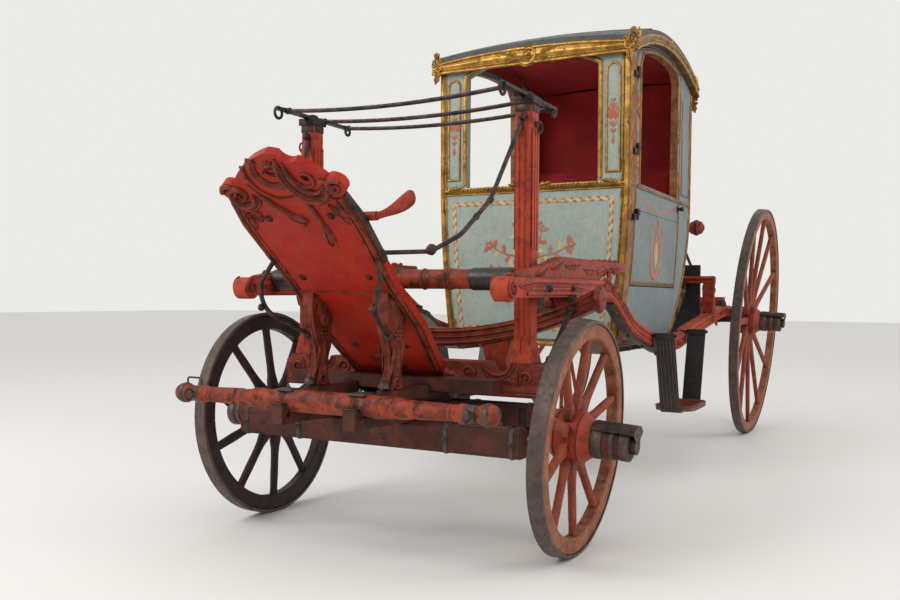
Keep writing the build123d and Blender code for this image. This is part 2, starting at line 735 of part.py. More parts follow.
def side_view(inset):
    """The body's outline in (y, z), moved in by inset."""
    front = body_front_y + inset
    rear = body_rear_y - inset
    bottom_rear = body_bottom_rear_y - inset
    bottom = body_bottom_z + inset
    curve = ThreePointArc((bottom_rear, bottom), (rear - 90, 1080), (rear, belt_z))
    return make_face([Line((front, bottom), (bottom_rear, bottom)), curve,
                      Line((rear, belt_z), (rear, outline_top_z)),
                      Line((rear, outline_top_z), (front, outline_top_z)),
                      Line((front, outline_top_z), (front, bottom))])


# The roof's long arch, whose centre every edge along the sides is struck from
roof_arc = ThreePointArc((body_front_y, arch_front_z), ((body_front_y + body_rear_y) / 2, arch_middle_z),
                         (body_rear_y, arch_rear_z))
arch_r = roof_arc.radius
arch_y = roof_arc.arc_center.X
arch_z = roof_arc.arc_center.Y


def under_arch(drop):
    """Everything in (y, z) within the roof's arch less a drop."""
    return Pos(arch_y, arch_z) * Circle(arch_r - drop)


cornice_half = body_top_half + cornice_out
crown_arc_low = ThreePointArc((-cornice_half, arch_r - roof_thick), (0, arch_r - roof_thick + roof_crown),
                              (cornice_half, arch_r - roof_thick))
crown_arc_high = ThreePointArc((-cornice_half, arch_r), (0, arch_r + roof_crown), (cornice_half, arch_r))


def crowned(arc, top):
    """A face in (x, radius) from one crowned arc up to another edge."""
    return make_face([arc, Line(arc @ 1, top @ 1), top, Line(top @ 0, arc @ 0)])


def about_arch(face, sweep_angle=60):
    """Turns a face in (x, radius) about the roof arch's centre line."""
    standing = Plane((0, arch_y, arch_z), x_dir=(1, 0, 0), z_dir=(0, -1, 0)) * face
    centre_line = Axis((0, arch_y, arch_z), (1, 0, 0))
    ahead = revolve(standing, centre_line, revolution_arc=sweep_angle / 2)
    behind = revolve(standing, centre_line, revolution_arc=-sweep_angle / 2)
    return ahead + behind


sky = Line((-cornice_half, 2 * arch_r), (cornice_half, 2 * arch_r))
roof_above = about_arch(crowned(crown_arc_low, sky))
roof_room = block((-cornice_half, cornice_half), (body_front_y - cornice_out, body_rear_y + cornice_out),
                  (belt_z, reach))
pieces["roof"] = about_arch(crowned(crown_arc_low, crown_arc_high)) & roof_room

everywhere = (-reach, reach)
shell_side = across(side_view(0), *everywhere)
shell_front = along(front_view(0), *everywhere)
hollow_side = across(side_view(wall), *everywhere)
hollow_front = along(front_view(wall), *everywhere)
outer_body = (shell_side & shell_front) - roof_above
between = outer_body & hollow_front
above_floor = block(everywhere, everywhere, (body_bottom_z + wall, reach))
front_half = block(everywhere, (-reach, body_front_y + wall), everywhere)
side_wall = (outer_body - hollow_front) & above_floor & block((0, reach), everywhere, everywhere)
front_wall = between & front_half & above_floor
back_wall = (between - hollow_side - block(everywhere, (-reach, body_front_y + 2 * wall), everywhere)) & above_floor
floor = outer_body - above_floor

# Doors: their tops follow the arch, far enough under the cornice to swing out
door_top_drop = roof_thick + cornice_height + door_swing_gap


def door_room(gap):
    """The door's outline in (y, z), larger by gap all round."""
    tall = make_face(Polyline(
        (door_front_y - gap, door_bottom_z - gap), (door_rear_y + gap, door_bottom_z - gap),
        (door_rear_y + gap, outline_top_z), (door_front_y - gap, outline_top_z), close=True))
    return tall & under_arch(door_top_drop - gap)


def window_room():
    """The door window's outline in (y, z), with rounded corners."""
    front = door_front_y + window_stile
    rear = door_rear_y - window_stile
    tall = make_face(Polyline((front, window_sill_z), (rear, window_sill_z), (rear, outline_top_z),
                              (front, outline_top_z), close=True))
    outline = tall & under_arch(door_top_drop + window_head)
    top_corners = outline.vertices().sort_by(Axis.Y)[-2:]
    return fillet(top_corners, window_corner_r)


door = side_wall & across(door_room(0), 0, reach)
door -= across(window_room(), 0, reach)
side_wall -= across(door_room(door_gap), 0, reach)
pieces["door_right"] = door
pieces["door_left"] = mirrored(door)
pieces["body_side_right"] = side_wall
pieces["body_side_left"] = mirrored(side_wall)
front_opening = make_face([
    Line((-front_window_half, window_sill_z), (front_window_half, window_sill_z)),
    Line((front_window_half, window_sill_z), (front_window_half, front_window_side_z)),
    ThreePointArc((front_window_half, front_window_side_z), (0, front_window_top_z),
                  (-front_window_half, front_window_side_z)),
    Line((-front_window_half, front_window_side_z), (-front_window_half, window_sill_z))])
pieces["body_front"] = front_wall - along(front_opening, *everywhere)
pieces["body_back"] = back_wall
pieces["body_floor"] = floor

# Cornice round the top of the walls, under the roof's edge
cornice_low = arch_r - cornice_height - roof_thick
band = about_arch(make_face(Polyline(
    (-cornice_half, cornice_low), (cornice_half, cornice_low),
    (cornice_half, 2 * arch_r), (-cornice_half, 2 * arch_r), close=True)))
pieces["cornice"] = (band & roof_room) - roof_above - (shell_side & shell_front)

# Inside: the bench and its cushions
inside = (hollow_side & hollow_front) - roof_above
pieces["seat_bench"] = inside & block(everywhere, (bench_front_y, reach), (body_bottom_z + wall, bench_top_z))
cushion_high = bench_top_z + cushion_thick
cushion_room = across(side_view(wall + soft_gap), *everywhere) & along(front_view(wall + soft_gap), *everywhere)
pieces["seat_cushion"] = cushion_room & block(everywhere, (bench_front_y - cushion_overhang, reach),
                                              (bench_top_z + turning_gap, cushion_high))
rear_face = across(side_view(wall + soft_gap + back_cushion_thick), *everywhere)
back_cushion = cushion_room & block(everywhere, ((body_front_y + body_rear_y) / 2, reach),
                                    (cushion_high + soft_gap, back_cushion_top_z))
pieces["back_cushion"] = back_cushion - rear_face

# Door hinges: knuckles on the pillar and on the door, turning on one line
taper = (body_top_half - belt_half) / (outline_top_z - belt_z)
wall_at_hinge = max(belt_half, belt_half + taper * (hinge_heights[-1] + knuckle_length - belt_z))
hinge_x = wall_at_hinge + hinge_stand + hinge_r
hinge_y = door_front_y - door_gap / 2
leaf_x = (hinge_x - hinge_leaf_length, hinge_x)


def hinge_half(height, on_door):
    """One leaf of a hinge with its half of the knuckle, on the right-hand side."""
    direction = 1 if on_door else -1
    low = height + turning_gap if on_door else height - knuckle_length
    high = height + knuckle_length if on_door else height
    knuckle = Pos(hinge_x, hinge_y, low) * extrude(RegularPolygon(hinge_r, knuckle_sides), high - low)
    leaf = block(leaf_x, sorted((hinge_y, hinge_y + direction * hinge_leaf_length)), (low, high))
    return largest((leaf + knuckle) - (shell_side & shell_front))


pillar_halves = [hinge_half(height, False) for height in hinge_heights]
door_halves = Compound([hinge_half(height, True) for height in hinge_heights])
pieces["pillar_hinges"] = both_sides(Compound(pillar_halves))
pieces["door_hinges_right"] = door_halves
pieces["door_hinges_left"] = mirrored(door_halves)

# Move everything so that the origin is the middle of the base
os.makedirs("parts", exist_ok=True)
boxes = [shape.bounding_box() for shape in pieces.values()]
front_end = min(box.min.Y for box in boxes)
rear_end = max(box.max.Y for box in boxes)
middle_y = (front_end + rear_end) / 2
for name, shape in pieces.items():
    export_step(Pos(0, -middle_y, 0) * shape, f"parts/{name}.step")
print(f"front axle at y = {-middle_y:.2f}, hinge at ({hinge_x:.2f}, {hinge_y - middle_y:.2f})")
print(f"bed {bed_high:.1f}, perch {perch_end_z:.1f}, bolster {bolster_high:.1f}")
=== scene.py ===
"""The looks of a rococo coupe carriage, built round its solid frame.

Lengths in the classes are millimetres: x to the carriage's right, y from the
front axle towards the rear and z from the ground, as a coachbuilder takes
them. Form.piece() turns them into metres in the frame's own axes.
"""

import json
import logging
import math
from collections.abc import Callable
from dataclasses import dataclass, replace
from enum import Enum
from functools import partial
from typing import ClassVar

import bmesh
import bpy
import numpy as np
from mathutils import Matrix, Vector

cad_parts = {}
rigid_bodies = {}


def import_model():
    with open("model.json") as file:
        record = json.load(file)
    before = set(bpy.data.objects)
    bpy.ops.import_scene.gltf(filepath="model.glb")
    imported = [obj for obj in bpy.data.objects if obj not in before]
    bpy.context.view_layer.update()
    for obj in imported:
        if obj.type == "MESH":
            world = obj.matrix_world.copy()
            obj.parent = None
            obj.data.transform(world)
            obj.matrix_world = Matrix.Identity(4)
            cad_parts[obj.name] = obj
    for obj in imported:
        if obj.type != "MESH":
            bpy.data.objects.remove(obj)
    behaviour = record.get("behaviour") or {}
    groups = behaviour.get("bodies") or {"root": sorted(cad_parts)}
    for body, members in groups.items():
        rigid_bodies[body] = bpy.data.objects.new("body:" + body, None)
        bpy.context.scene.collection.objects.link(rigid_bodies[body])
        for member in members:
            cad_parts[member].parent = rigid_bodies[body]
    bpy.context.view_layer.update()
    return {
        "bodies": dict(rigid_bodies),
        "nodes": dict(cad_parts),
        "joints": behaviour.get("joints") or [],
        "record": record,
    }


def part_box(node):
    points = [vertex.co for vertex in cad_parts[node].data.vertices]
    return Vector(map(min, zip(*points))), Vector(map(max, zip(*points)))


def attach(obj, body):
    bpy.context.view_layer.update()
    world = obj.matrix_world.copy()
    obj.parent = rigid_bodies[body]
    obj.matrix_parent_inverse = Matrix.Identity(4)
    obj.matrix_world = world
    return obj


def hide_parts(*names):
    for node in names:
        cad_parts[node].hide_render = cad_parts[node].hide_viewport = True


log = logging.getLogger("carriage")
Array = np.ndarray
FULL_TURN = 2 * math.pi
MM = 0.001
SIDES = (-1, 1)
FRONT, REAR, LEFT, RIGHT, UP, DOWN = (0, -1, 0), (0, 1, 0), (-1, 0, 0), (1, 0, 0), (0, 0, 1), (0, 0, -1)


def linear(hex_colour: str) -> tuple[float, float, float, float]:
    """Turns an sRGB colour into linear light.

    Args:
        hex_colour: six hex digits after a hash.
    Returns:
        linear red, green and blue, and an alpha of 1.
    """
    values = np.array([int(hex_colour[i:i + 2], 16) for i in (1, 3, 5)]) / 255
    curve = np.where(values <= 0.04045, values / 12.92, ((values + 0.055) / 1.055) ** 2.4)
    return (*curve.tolist(), 1.0)


def add_node(tree: bpy.types.NodeTree, kind: str, inputs: dict | tuple = (), **settings) -> bpy.types.Node:
    """Adds a node, sets it up and links it.

    Args:
        tree: the material's tree.
        kind: the node's type name after "ShaderNode".
        inputs: values, sockets, or nodes that stand for their first output, in order or by input name.
        settings: the node's own properties.
    Returns:
        the new node.
    """
    node = tree.nodes.new("ShaderNode" + kind)
    for name, value in settings.items():
        setattr(node, name, value)
    for name, value in inputs.items() if isinstance(inputs, dict) else enumerate(inputs):
        if isinstance(value, bpy.types.Node):
            value = value.outputs[0]
        if isinstance(value, bpy.types.NodeSocket):
            tree.links.new(value, node.inputs[name])
        else:
            node.inputs[name].default_value = value
    return node


def new_object(name: str, data: bpy.types.ID) -> bpy.types.Object:
    """Puts data into the scene as an object.

    Args:
        name: the object's name.
        data: its mesh, lamp or camera.
    Returns:
        the new object.
    """
    obj = bpy.data.objects.new(name, data)
    bpy.context.scene.collection.objects.link(obj)
    return obj


def unit(vectors: Array) -> Array:
    """Vectors at length 1, along the last axis."""
    return vectors / np.maximum(np.linalg.norm(vectors, axis=-1, keepdims=True), 1e-9)


def fade(low: float, high: float, values: Array) -> Array:
    """A smooth step from 0 at low to 1 at high."""
    t = np.clip((values - low) / (high - low), 0, 1)
    return t * t * (3 - 2 * t)


def columns(*parts: Array | float) -> Array:
    """Numbers and arrays side by side, as the coordinates of places."""
    return np.stack(np.broadcast_arrays(*(np.asarray(part, float) for part in parts)), -1)


def spins(count: int) -> Array:
    """Angles at even steps round a circle."""
    return np.linspace(0, FULL_TURN, count, endpoint=False)


def power_wave(wave: Array, power: Array | float) -> Array:
    """A cosine or sine with its size raised to a power, as a superellipse has it."""
    return np.sign(wave) * np.abs(wave) ** power


def arc_through(start: tuple, middle: tuple, end: tuple, count: int) -> Array:
    """An arc over three places, whose centre is where two bisectors meet.

    Args:
        start, middle, end: the places, each as two numbers.
        count: how many points it gets.
    Returns:
        points (count, 2) along it.
    """
    start, middle, end = (np.array(p, float) for p in (start, middle, end))
    rows = 2 * np.array([middle - start, end - start])
    centre = np.linalg.solve(rows, np.array([middle @ middle - start @ start, end @ end - start @ start]))
    angles = [math.atan2(*(p - centre)[::-1]) for p in (start, middle, end)]
    turn = (angles[2] - angles[0]) % FULL_TURN
    if (angles[1] - angles[0]) % FULL_TURN > turn:
        turn -= FULL_TURN
    spread = angles[0] + turn * np.linspace(0, 1, count)
    return centre + np.linalg.norm(start - centre) * columns(np.cos(spread), np.sin(spread))


def resampled(points: Array, count: int) -> Array:
    """The same open line with its points at even steps.

    Args:
        points: (n, 2) or (n, 3).
        count: how many points it gets.
    Returns:
        the points.
    """
    points = np.asarray(points, float)
    along = np.concatenate([[0], np.cumsum(np.linalg.norm(np.diff(points, axis=0), axis=1))])
    return columns(*(np.interp(np.linspace(0, along[-1], count), along, column) for column in points.T))


def smoothed(points: Array, count: int) -> Array:
    """A flowing curve near a few points: three rounds of cutting corners, then even spacing.

    Args:
        points: (n, 2) or (n, 3).
        count: how many points it gets.
    Returns:
        the points.
    """
    points = np.asarray(points, float)
    for _ in range(3):
        cut = [0.75 * points[:-1] + 0.25 * points[1:], 0.25 * points[:-1] + 0.75 * points[1:]]
        inner = np.stack(cut, 1).reshape(-1, points.shape[1])[1:-1]
        points = np.concatenate([points[:1], inner, points[-1:]])
    return resampled(points, count)


def filleted(points: list, radii: list) -> Array:
    """A line in a plane with its corners rounded, each as a quadratic curve of ten points.

    At each corner the curve leaves the runs at radius x tan(half the turn).

    Args:
        points: corners as (n, 2).
        radii: one for each inner corner.
    Returns:
        the points.
    """
    points = np.array(points, float)
    rows = [points[:1]]
    t = np.linspace(0, 1, 10)[:, None]
    for before, corner, after, radius in zip(points[:-2], points[1:-1], points[2:], radii):
        one, two = unit(before - corner), unit(after - corner)
        back = radius * math.tan((math.pi - math.acos(float(np.clip(one @ two, -1, 1)))) / 2)
        leave, join = corner + one * back, corner + two * back
        rows.append((1 - t) ** 2 * leave + 2 * t * (1 - t) * corner + t ** 2 * join)
    return np.concatenate([*rows, points[-1:]])


def section(*half: tuple) -> Array:
    """A section across a moulding, mirrored from (across, out) shares of its half width and height."""
    half = np.array(half)
    return np.concatenate([half, half[-2::-1] * (-1, 1), [(0, -0.15)]])


BEAD = section(*((math.cos(a), math.sin(a)) for a in np.linspace(0, math.pi / 2, 5)))
OGEE = section((1, 0), (1, 0.25), (0.82, 0.3), (0.7, 0.55), (0.45, 0.6), (0.3, 0.9), (0, 1))
STRIP = section((1, 0), (0.96, 0.8), (0.85, 1), (0, 1))
GUTTER = section((1, 0), (0.95, 0.75), (0.75, 1), (0.5, 0.85), (0.3, 0.45), (0, 0.35))


class Form:
    """Gathers numpy surfaces, in millimetres, and makes one mesh of them."""

    axle_y = 0.0

    def __init__(self) -> None:
        """An empty form."""
        self.points: list[Array] = []
        self.faces: list[list] = []
        self.count = 0

    def add(self, points: Array, faces: list) -> "Form":
        """Takes in a surface.

        Args:
            points: (n, 3).
            faces: rows that number the points.
        Returns:
            this form.
        """
        self.points.append(np.asarray(points, float).reshape(-1, 3))
        self.faces.extend((np.asarray(face) + self.count).tolist() for face in faces)
        self.count += len(self.points[-1])
        return self

    def grid(self, points: Array, wrap_u: bool = False) -> "Form":
        """A surface over a grid of two parameters, with a fan over each open end.

        Args:
            points: (nu, nv, 3), with v round the section and u along it.
            wrap_u: whether the last section joins the first.
        Returns:
            this form.
        """
        nu, nv = points.shape[:2]
        number = np.arange(nu * nv).reshape(nu, nv)
        if wrap_u:
            number = np.concatenate([number, number[:1]])
        number = np.concatenate([number, number[:, :1]], 1)
        corners = number[:-1, :-1], number[1:, :-1], number[1:, 1:], number[:-1, 1:]
        self.add(points, np.stack(corners, -1).reshape(-1, 4))
        for ring in () if wrap_u else (points[0], points[-1]):
            n = np.arange(nv)
            fan = np.stack([n, (n + 1) % nv, np.full(nv, nv)], 1)
            self.add(np.concatenate([ring, ring.mean(axis=0, keepdims=True)]), fan)
        return self

    def lathe(self, rows: list, centre: tuple, axis: tuple, sides: int = 48, ring: bool = False) -> "Form":
        """A turned shape: each (place, radius) row goes round the axis.

        Args:
            rows: places along the axis with their radii.
            centre: where place 0 is.
            axis: the axis's direction.
            sides: steps round.
            ring: whether the rows close on themselves, as a tyre's section does.
        Returns:
            this form.
        """
        rows = np.array(rows, float)
        axis = unit(np.array(axis, float))
        first = unit(np.cross(axis, (0.3, 1, 0.2) if abs(axis[1]) < 0.9 else RIGHT))
        spoke = columns(np.cos(spins(sides)), np.sin(spins(sides))) @ np.array([first, np.cross(axis, first)])
        return self.grid(np.array(centre) + rows[:, :1, None] * axis + rows[:, 1:, None] * spoke, ring)

    def rib(self, path: Array, out: Array, half_width: Array | float, height: Array | float,
            shape: Array = BEAD, closed: bool = False) -> "Form":
        """A section carried along a path: its sides lie along path x out, mitred at corners.

        Args:
            path: (n, 3).
            out: (3,) or (n, 3), the way it stands proud.
            half_width, height: one size, or one for each point.
            shape: the section.
            closed: whether the path is a loop.
        Returns:
            this form.
        """
        path = np.asarray(path, float)
        out = unit(np.broadcast_to(np.asarray(out, float), path.shape))
        steps = np.roll(path, -1, 0) - path
        if not closed:
            steps[-1] = steps[-2]
        before = np.roll(steps, 1, 0)
        if not closed:
            before[0] = steps[0]
        side_before, side_after = unit(np.cross(before, out)), unit(np.cross(steps, out))
        agree = (side_before * side_after).sum(1, keepdims=True)
        side = (side_before + side_after) / np.maximum(1 + agree, 0.4)
        wide, high = (np.broadcast_to(size, len(path))[:, None, None] for size in (half_width, height))
        return self.grid(path[:, None] + side[:, None] * shape[None, :, :1] * wide
                         + out[:, None] * shape[None, :, 1:] * high, closed)

    def tube(self, path: Array, radius: Array | float, sides: int = 10, closed: bool = False,
             reference: tuple = (0.31, 0.22, 0.93)) -> "Form":
        """A round bar along a path: circles square to it.

        Args:
            path: (n, 3).
            radius: one, or one for each point.
            sides: steps round.
            closed: whether the path is a loop.
            reference: a direction that the path never takes, from which the circles are set out.
        Returns:
            this form.
        """
        path = np.asarray(path, float)
        tangent = unit(np.roll(path, -1, 0) - np.roll(path, 1, 0) if closed else np.gradient(path, axis=0))
        side = unit(np.cross(tangent, reference))
        turn = spins(sides)[None, :, None]
        circle = np.cos(turn) * side[:, None] + np.sin(turn) * np.cross(tangent, side)[:, None]
        return self.grid(path[:, None] + circle * np.broadcast_to(radius, len(path))[:, None, None], closed)

    def leaf(self, root: tuple, way: tuple, out: tuple, length: float, half_width: float, height: float = 6,
             bend: float = 0.0, lobes: int = 4, lift: float = 0.0) -> "Form":
        """A carved or painted leaf: a lens with lobed edges and a sunk midrib, bent sideways as it grows.

        Half width runs as sine of the way along, times a lobed ripple; the height is a parabola across
        with the midrib pressed in.

        Args:
            root, way, out: where it starts, which way it grows and which way it faces.
            length, half_width, height: its sizes.
            bend: how far it turns sideways by its tip, in radians.
            lobes: ripples along each edge.
            lift: how far its tip rises off the ground it lies on.
        Returns:
            this form.
        """
        way, out = unit(np.array(way, float)), unit(np.array(out, float))
        u = np.linspace(0, 1, 7 + 5 * lobes if height > 3 else 5 + 3 * lobes)[:, None]
        v = np.array([-1, -0.6, -0.15, 0, 0.15, 0.6, 1])
        cos, sin = np.cos(bend * u), np.sin(bend * u)
        step = length / (len(u) - 1)
        ahead, aside = (np.concatenate([[[0]], np.cumsum(part[:-1], axis=0)]) * step for part in (cos, sin))
        across = v * half_width * np.sin(np.pi * np.clip(u * 0.93 + 0.04, 0, 1)) ** 0.8
        across = across * (1 + 0.22 * np.sin(FULL_TURN * lobes * u))
        dome = height * (1 - v ** 2) * np.array([1, 1, 1, 0.55, 1, 1, 1])
        rise = dome * np.sin(np.pi * np.clip(u, 0.06, 0.96)) ** 0.5 + lift * u ** 2
        places = columns(ahead - across * sin, aside + across * cos, rise)
        front = np.array(root) + places @ np.array([way, np.cross(out, way), out])
        back = front[:, [-1, 0]] - out * (0.15 * height + 0.3)
        return self.grid(np.concatenate([front, back], 1))

    def slab(self, low: tuple, high: tuple, ease: float = 1.5) -> "Form":
        """A block with eased edges: four rectangles with cut corners, drawn in at both ends.

        Args:
            low, high: its opposite corners.
            ease: how much is cut off its edges.
        Returns:
            this form.
        """
        low, high = np.array(low, float), np.array(high, float)
        half = (high - low) / 2
        ease = min(ease, 0.9 * half.min())
        corners = np.array([(1, 1, 0, 1), (1, 1, 1, 0), (-1, 1, 1, 0), (-1, 1, 0, 1),
                            (-1, -1, 0, 1), (-1, -1, 1, 0), (1, -1, 1, 0), (1, -1, 0, 1)], float)
        ends = (-1, ease), (-1 + ease / half[0], 0), (1 - ease / half[0], 0), (1, ease)
        rings = [columns(along * half[0], corners[:, 0] * (half[1] - inset - ease * corners[:, 2]),
                         corners[:, 1] * (half[2] - inset - ease * corners[:, 3]))
                 for along, inset in ends]
        return self.grid(np.array(rings) + (low + high) / 2)

    def dome(self, centre: tuple, out: tuple, radius: float, height: float, sides: int = 10) -> "Form":
        """A nail or bolt head: a cap whose radius shrinks as a cosine while it rises as a sine."""
        rows = [(height * math.sin(a), radius * math.cos(a)) for a in np.linspace(0, 0.46 * math.pi, 4)]
        return self.lathe([(-0.2 * height, radius), *rows], centre, out, sides)

    def bolt(self, centre: tuple, out: tuple, radius: float, height: float) -> "Form":
        """A washer, a square nut and the bolt's end, stacked along the way out.

        Args:
            centre, out: where it sits and which way it faces.
            radius, height: the nut's sizes.
        Returns:
            this form.
        """
        washer = (0, 1.5), (2.2, 1.5), (3, 1.35)
        nut = (2, 1.1), (height * 0.8, 1.1), (height, 0.9)
        end = (height - 1, 0.5), (height + 5, 0.5), (height + 7, 0.3)
        for rows, sides in ((washer, 16), (nut, 4), (end, 8)):
            self.lathe([(place, share * radius) for place, share in rows], centre, out, sides)
        return self

    def copies(self, shape: "Form", moves: Array) -> "Form":
        """Repeats another form, as whole arrays.

        Args:
            shape: the other form.
            moves: (n, 3), how far each copy is moved.
        Returns:
            this form.
        """
        for move in moves:
            self.add(np.concatenate(shape.points) + move, shape.faces)
        return self

    def sheet(self, front: Array, out: tuple, thick: float = 2.0) -> "Form":
        """A thin closed sheet: a grid and the same grid set back, joined round the edges.

        Args:
            front: (nu, nv, 3).
            out: the way it faces.
            thick: how far back the other face lies.
        Returns:
            this form.
        """
        back = front - np.array(out, float) * thick
        return self.grid(np.concatenate([front, back[:, ::-1]], 1))

    def mirror(self) -> "Form":
        """Adds the same surfaces on the carriage's other side."""
        return self.add(np.concatenate(self.points) * (-1, 1, 1), [face[::-1] for face in self.faces])

    def placed(self, side: str, lean: float = 0.0, offset: tuple = (0, 0, 0)) -> "Form":
        """Leans the form about y, moves it and mirrors it at x = 0 for the left side.

        Args:
            side: right or left.
            lean: radians.
            offset: how far it is moved.
        Returns:
            this form.
        """
        c, s = math.cos(lean), math.sin(lean)
        lean_matrix = np.array([(c, 0, -s), (0, 1, 0), (s, 0, c)])
        self.points = [points @ lean_matrix + offset for points in self.points]
        if side == "left":
            self.points = [points * (-1, 1, 1) for points in self.points]
            self.faces = [face[::-1] for face in self.faces]
        return self

    def piece(self, name: str, finish: "Finishes", body: str = "carriage_frame", replaces: str = "",
              slot: str = "") -> bpy.types.Object:
        """Args:
            name: the piece's name.
            finish: its finish.
            body: the body that it moves with.
            replaces: the node that it stands for.
            slot: the record's material slot, where it isn't the finish's own; not used.
        Returns:
            the new object.
        """
        points = np.concatenate(self.points) * MM + (0, Form.axle_y, 0)
        mesh = bpy.data.meshes.new(name)
        mesh.from_pydata(points.tolist(), [], self.faces)
        shape = bmesh.new()
        shape.from_mesh(mesh)
        bmesh.ops.remove_doubles(shape, verts=shape.verts, dist=2e-6)
        bmesh.ops.dissolve_degenerate(shape, edges=shape.edges, dist=1e-6)
        bmesh.ops.recalc_face_normals(shape, faces=shape.faces)
        shape.to_mesh(mesh)
        shape.free()
        mesh.polygons.foreach_set("use_smooth", [True] * len(mesh.polygons))
        mesh.set_sharp_from_angle(angle=math.radians(40))
        obj = new_object(name, mesh)
        mesh.materials.append(finish.material())
        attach(obj, body)
        slot or finish.value.slot
        if replaces:
            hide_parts(replaces)
        log.info("%s: %d faces", name, len(mesh.polygons))
        return obj


@dataclass(frozen=True)
class Finish:
    """What every finish shares: a name, the record's slot, and a material that is made once."""

    name: str
    slot: str

    def material(self) -> bpy.types.Material:
        """The finish's material."""
        known = bpy.data.materials.get(self.name)
        if known:
            return known
        material = bpy.data.materials.new(self.name)
        material.use_nodes = True
        tree = material.node_tree
        tree.nodes.clear()
        shader = add_node(tree, "BsdfPrincipled", self.dress(partial(add_node, tree)))
        add_node(tree, "OutputMaterial", (shader,))
        return material

    def dress(self, add: Callable) -> dict:
        """Makes the finish's pattern and gives the shader's inputs.

        Args:
            add: adds a node to the material.
        Returns:
            the shader's inputs.
        """
        raise NotImplementedError


def noise(add: Callable, size_mm: float, stretch: tuple = (1, 1, 1), detail: float = 3.0,
          low: float = 0.35, high: float = 0.65) -> bpy.types.Node:
    """Cloudy noise on the object's own coordinates, spread over 0 to 1.

    Args:
        add: adds a node to the material.
        size_mm: how large its patches are.
        stretch: how many times as fast it changes along x, y and z.
        detail: octaves.
        low, high: the values that become 0 and 1.
    Returns:
        the node that gives it.
    """
    turned = add("Mapping", {"Vector": add("TexCoord").outputs["Object"], "Scale": stretch})
    cloud = add("TexNoise", {"Vector": turned, "Scale": 1000 / size_mm, "Detail": detail, "Roughness": 0.6})
    return add("MapRange", (cloud, low, high), interpolation_type="SMOOTHSTEP")


def worn_edges(add: Callable, radius_mm: float) -> tuple[bpy.types.Node, bpy.types.Node]:
    """Normals rounded at edges by a radius, and a mask that is 1 on edges.

    The mask grows where the rounded normal leaves the flat one, broken up by noise.

    Args:
        add: adds a node to the material.
        radius_mm: the rounding.
    Returns:
        the normals and the mask.
    """
    rounded = add("Bevel", {"Radius": radius_mm * MM}, samples=4)
    same = add("VectorMath", (rounded, add("NewGeometry").outputs["Normal"]), operation="DOT_PRODUCT")
    turn = add("Math", (1.0, same.outputs["Value"]), operation="SUBTRACT")
    rough = add("Math", (turn, noise(add, 22, detail=4, low=0.3, high=0.7)), operation="MULTIPLY")
    return rounded, add("MapRange", (rough, 0.015, 0.09))


def painted_hollow_shade(add: Callable, colour: bpy.types.Node, reach_mm: float, darkest: float) -> bpy.types.Node:
    """A colour darkened in hollows by ambient occlusion: painted shade, standing also for the dust and old
    varnish that settle there.

    Args:
        add: adds a node to the material.
        colour: the node that gives the colour before its painted shade.
        reach_mm: how wide the hollows are.
        darkest: the share of the colour left in the deepest.
    Returns:
        the node that gives the darkened colour.
    """
    # ambient occlusion darkens the colour in hollows: painted shade
    open_air = add("AmbientOcclusion", {"Distance": reach_mm * MM}, samples=4).outputs["AO"]
    share = add("MapRange", (open_air, 0.25, 0.9, darkest, 1.0))
    return add("MixRGB", (1.0, colour, share), blend_type="MULTIPLY")


@dataclass(frozen=True)
class OldPaint(Finish):
    """Oil paint brushed on wood, two and a half centuries old: patchy, crazed, rubbed off at the edges."""

    paint: str
    faded: str
    bare: str
    roughness: float = 0.42
    wear: float = 0.75
    patch_mm: float = 140
    crazing_mm: float = 38
    crazing: float = 0.3
    streak: tuple = (1, 1, 1)
    loss: float = 0.45

    def dress(self, add: Callable) -> dict:
        """Patches of two tones, brush streaks, fine crazing, bare wood on edges and painted shade in hollows.

        Args:
            add: adds a node to the material.
        Returns:
            the shader's inputs.
        """
        patches = noise(add, self.patch_mm, detail=5)
        place = add("TexCoord").outputs["Object"]
        bent = add("TexNoise", {"Vector": place, "Scale": 1000 / 30}).outputs["Color"]
        cells = add("TexVoronoi", {"Vector": add("MixRGB", (0.02, place, bent), blend_type="ADD"),
                                   "Scale": 1000 / self.crazing_mm}, feature="DISTANCE_TO_EDGE")
        lines = add("MapRange", (cells, 0.0, 0.035, 1.0, 0.0))
        cracks = add("Math", (lines, noise(add, 160, low=0.42, high=0.6)), operation="MULTIPLY")
        normal, edges = worn_edges(add, 3)
        chips = add("Math", (noise(add, 26, detail=6, low=0.63, high=0.67), 0.6), operation="MULTIPLY")
        colour = add("MixRGB", (patches, linear(self.paint), linear(self.faded)))
        for share, strength in ((noise(add, 9, self.streak, 2, 0.3, 0.8), 0.22), (cracks, self.crazing),
                                (noise(add, 48, detail=7, low=0.5, high=0.62), self.loss),
                                (add("Math", (edges, chips), operation="MAXIMUM"), self.wear)):
            lost = add("Math", (share, strength), operation="MULTIPLY")
            colour = add("MixRGB", (lost, colour, linear(self.bare)))
        dips = add("Math", (cracks, lost), operation="ADD")
        relief = add("Math", (noise(add, 7, self.streak), dips), operation="SUBTRACT")
        # the base colour is darkened in hollows by ambient occlusion: painted shade
        return {"Base Color": painted_hollow_shade(add, colour, 28, 0.42),
                "Roughness": add("MapRange", {"Value": patches, "To Min": self.roughness,
                                              "To Max": self.roughness + 0.2}),
                "Specular IOR Level": 0.22,
                "Normal": add("Bump", {"Height": relief, "Strength": 0.22, "Distance": 1.2 * MM,
                                       "Normal": normal})}


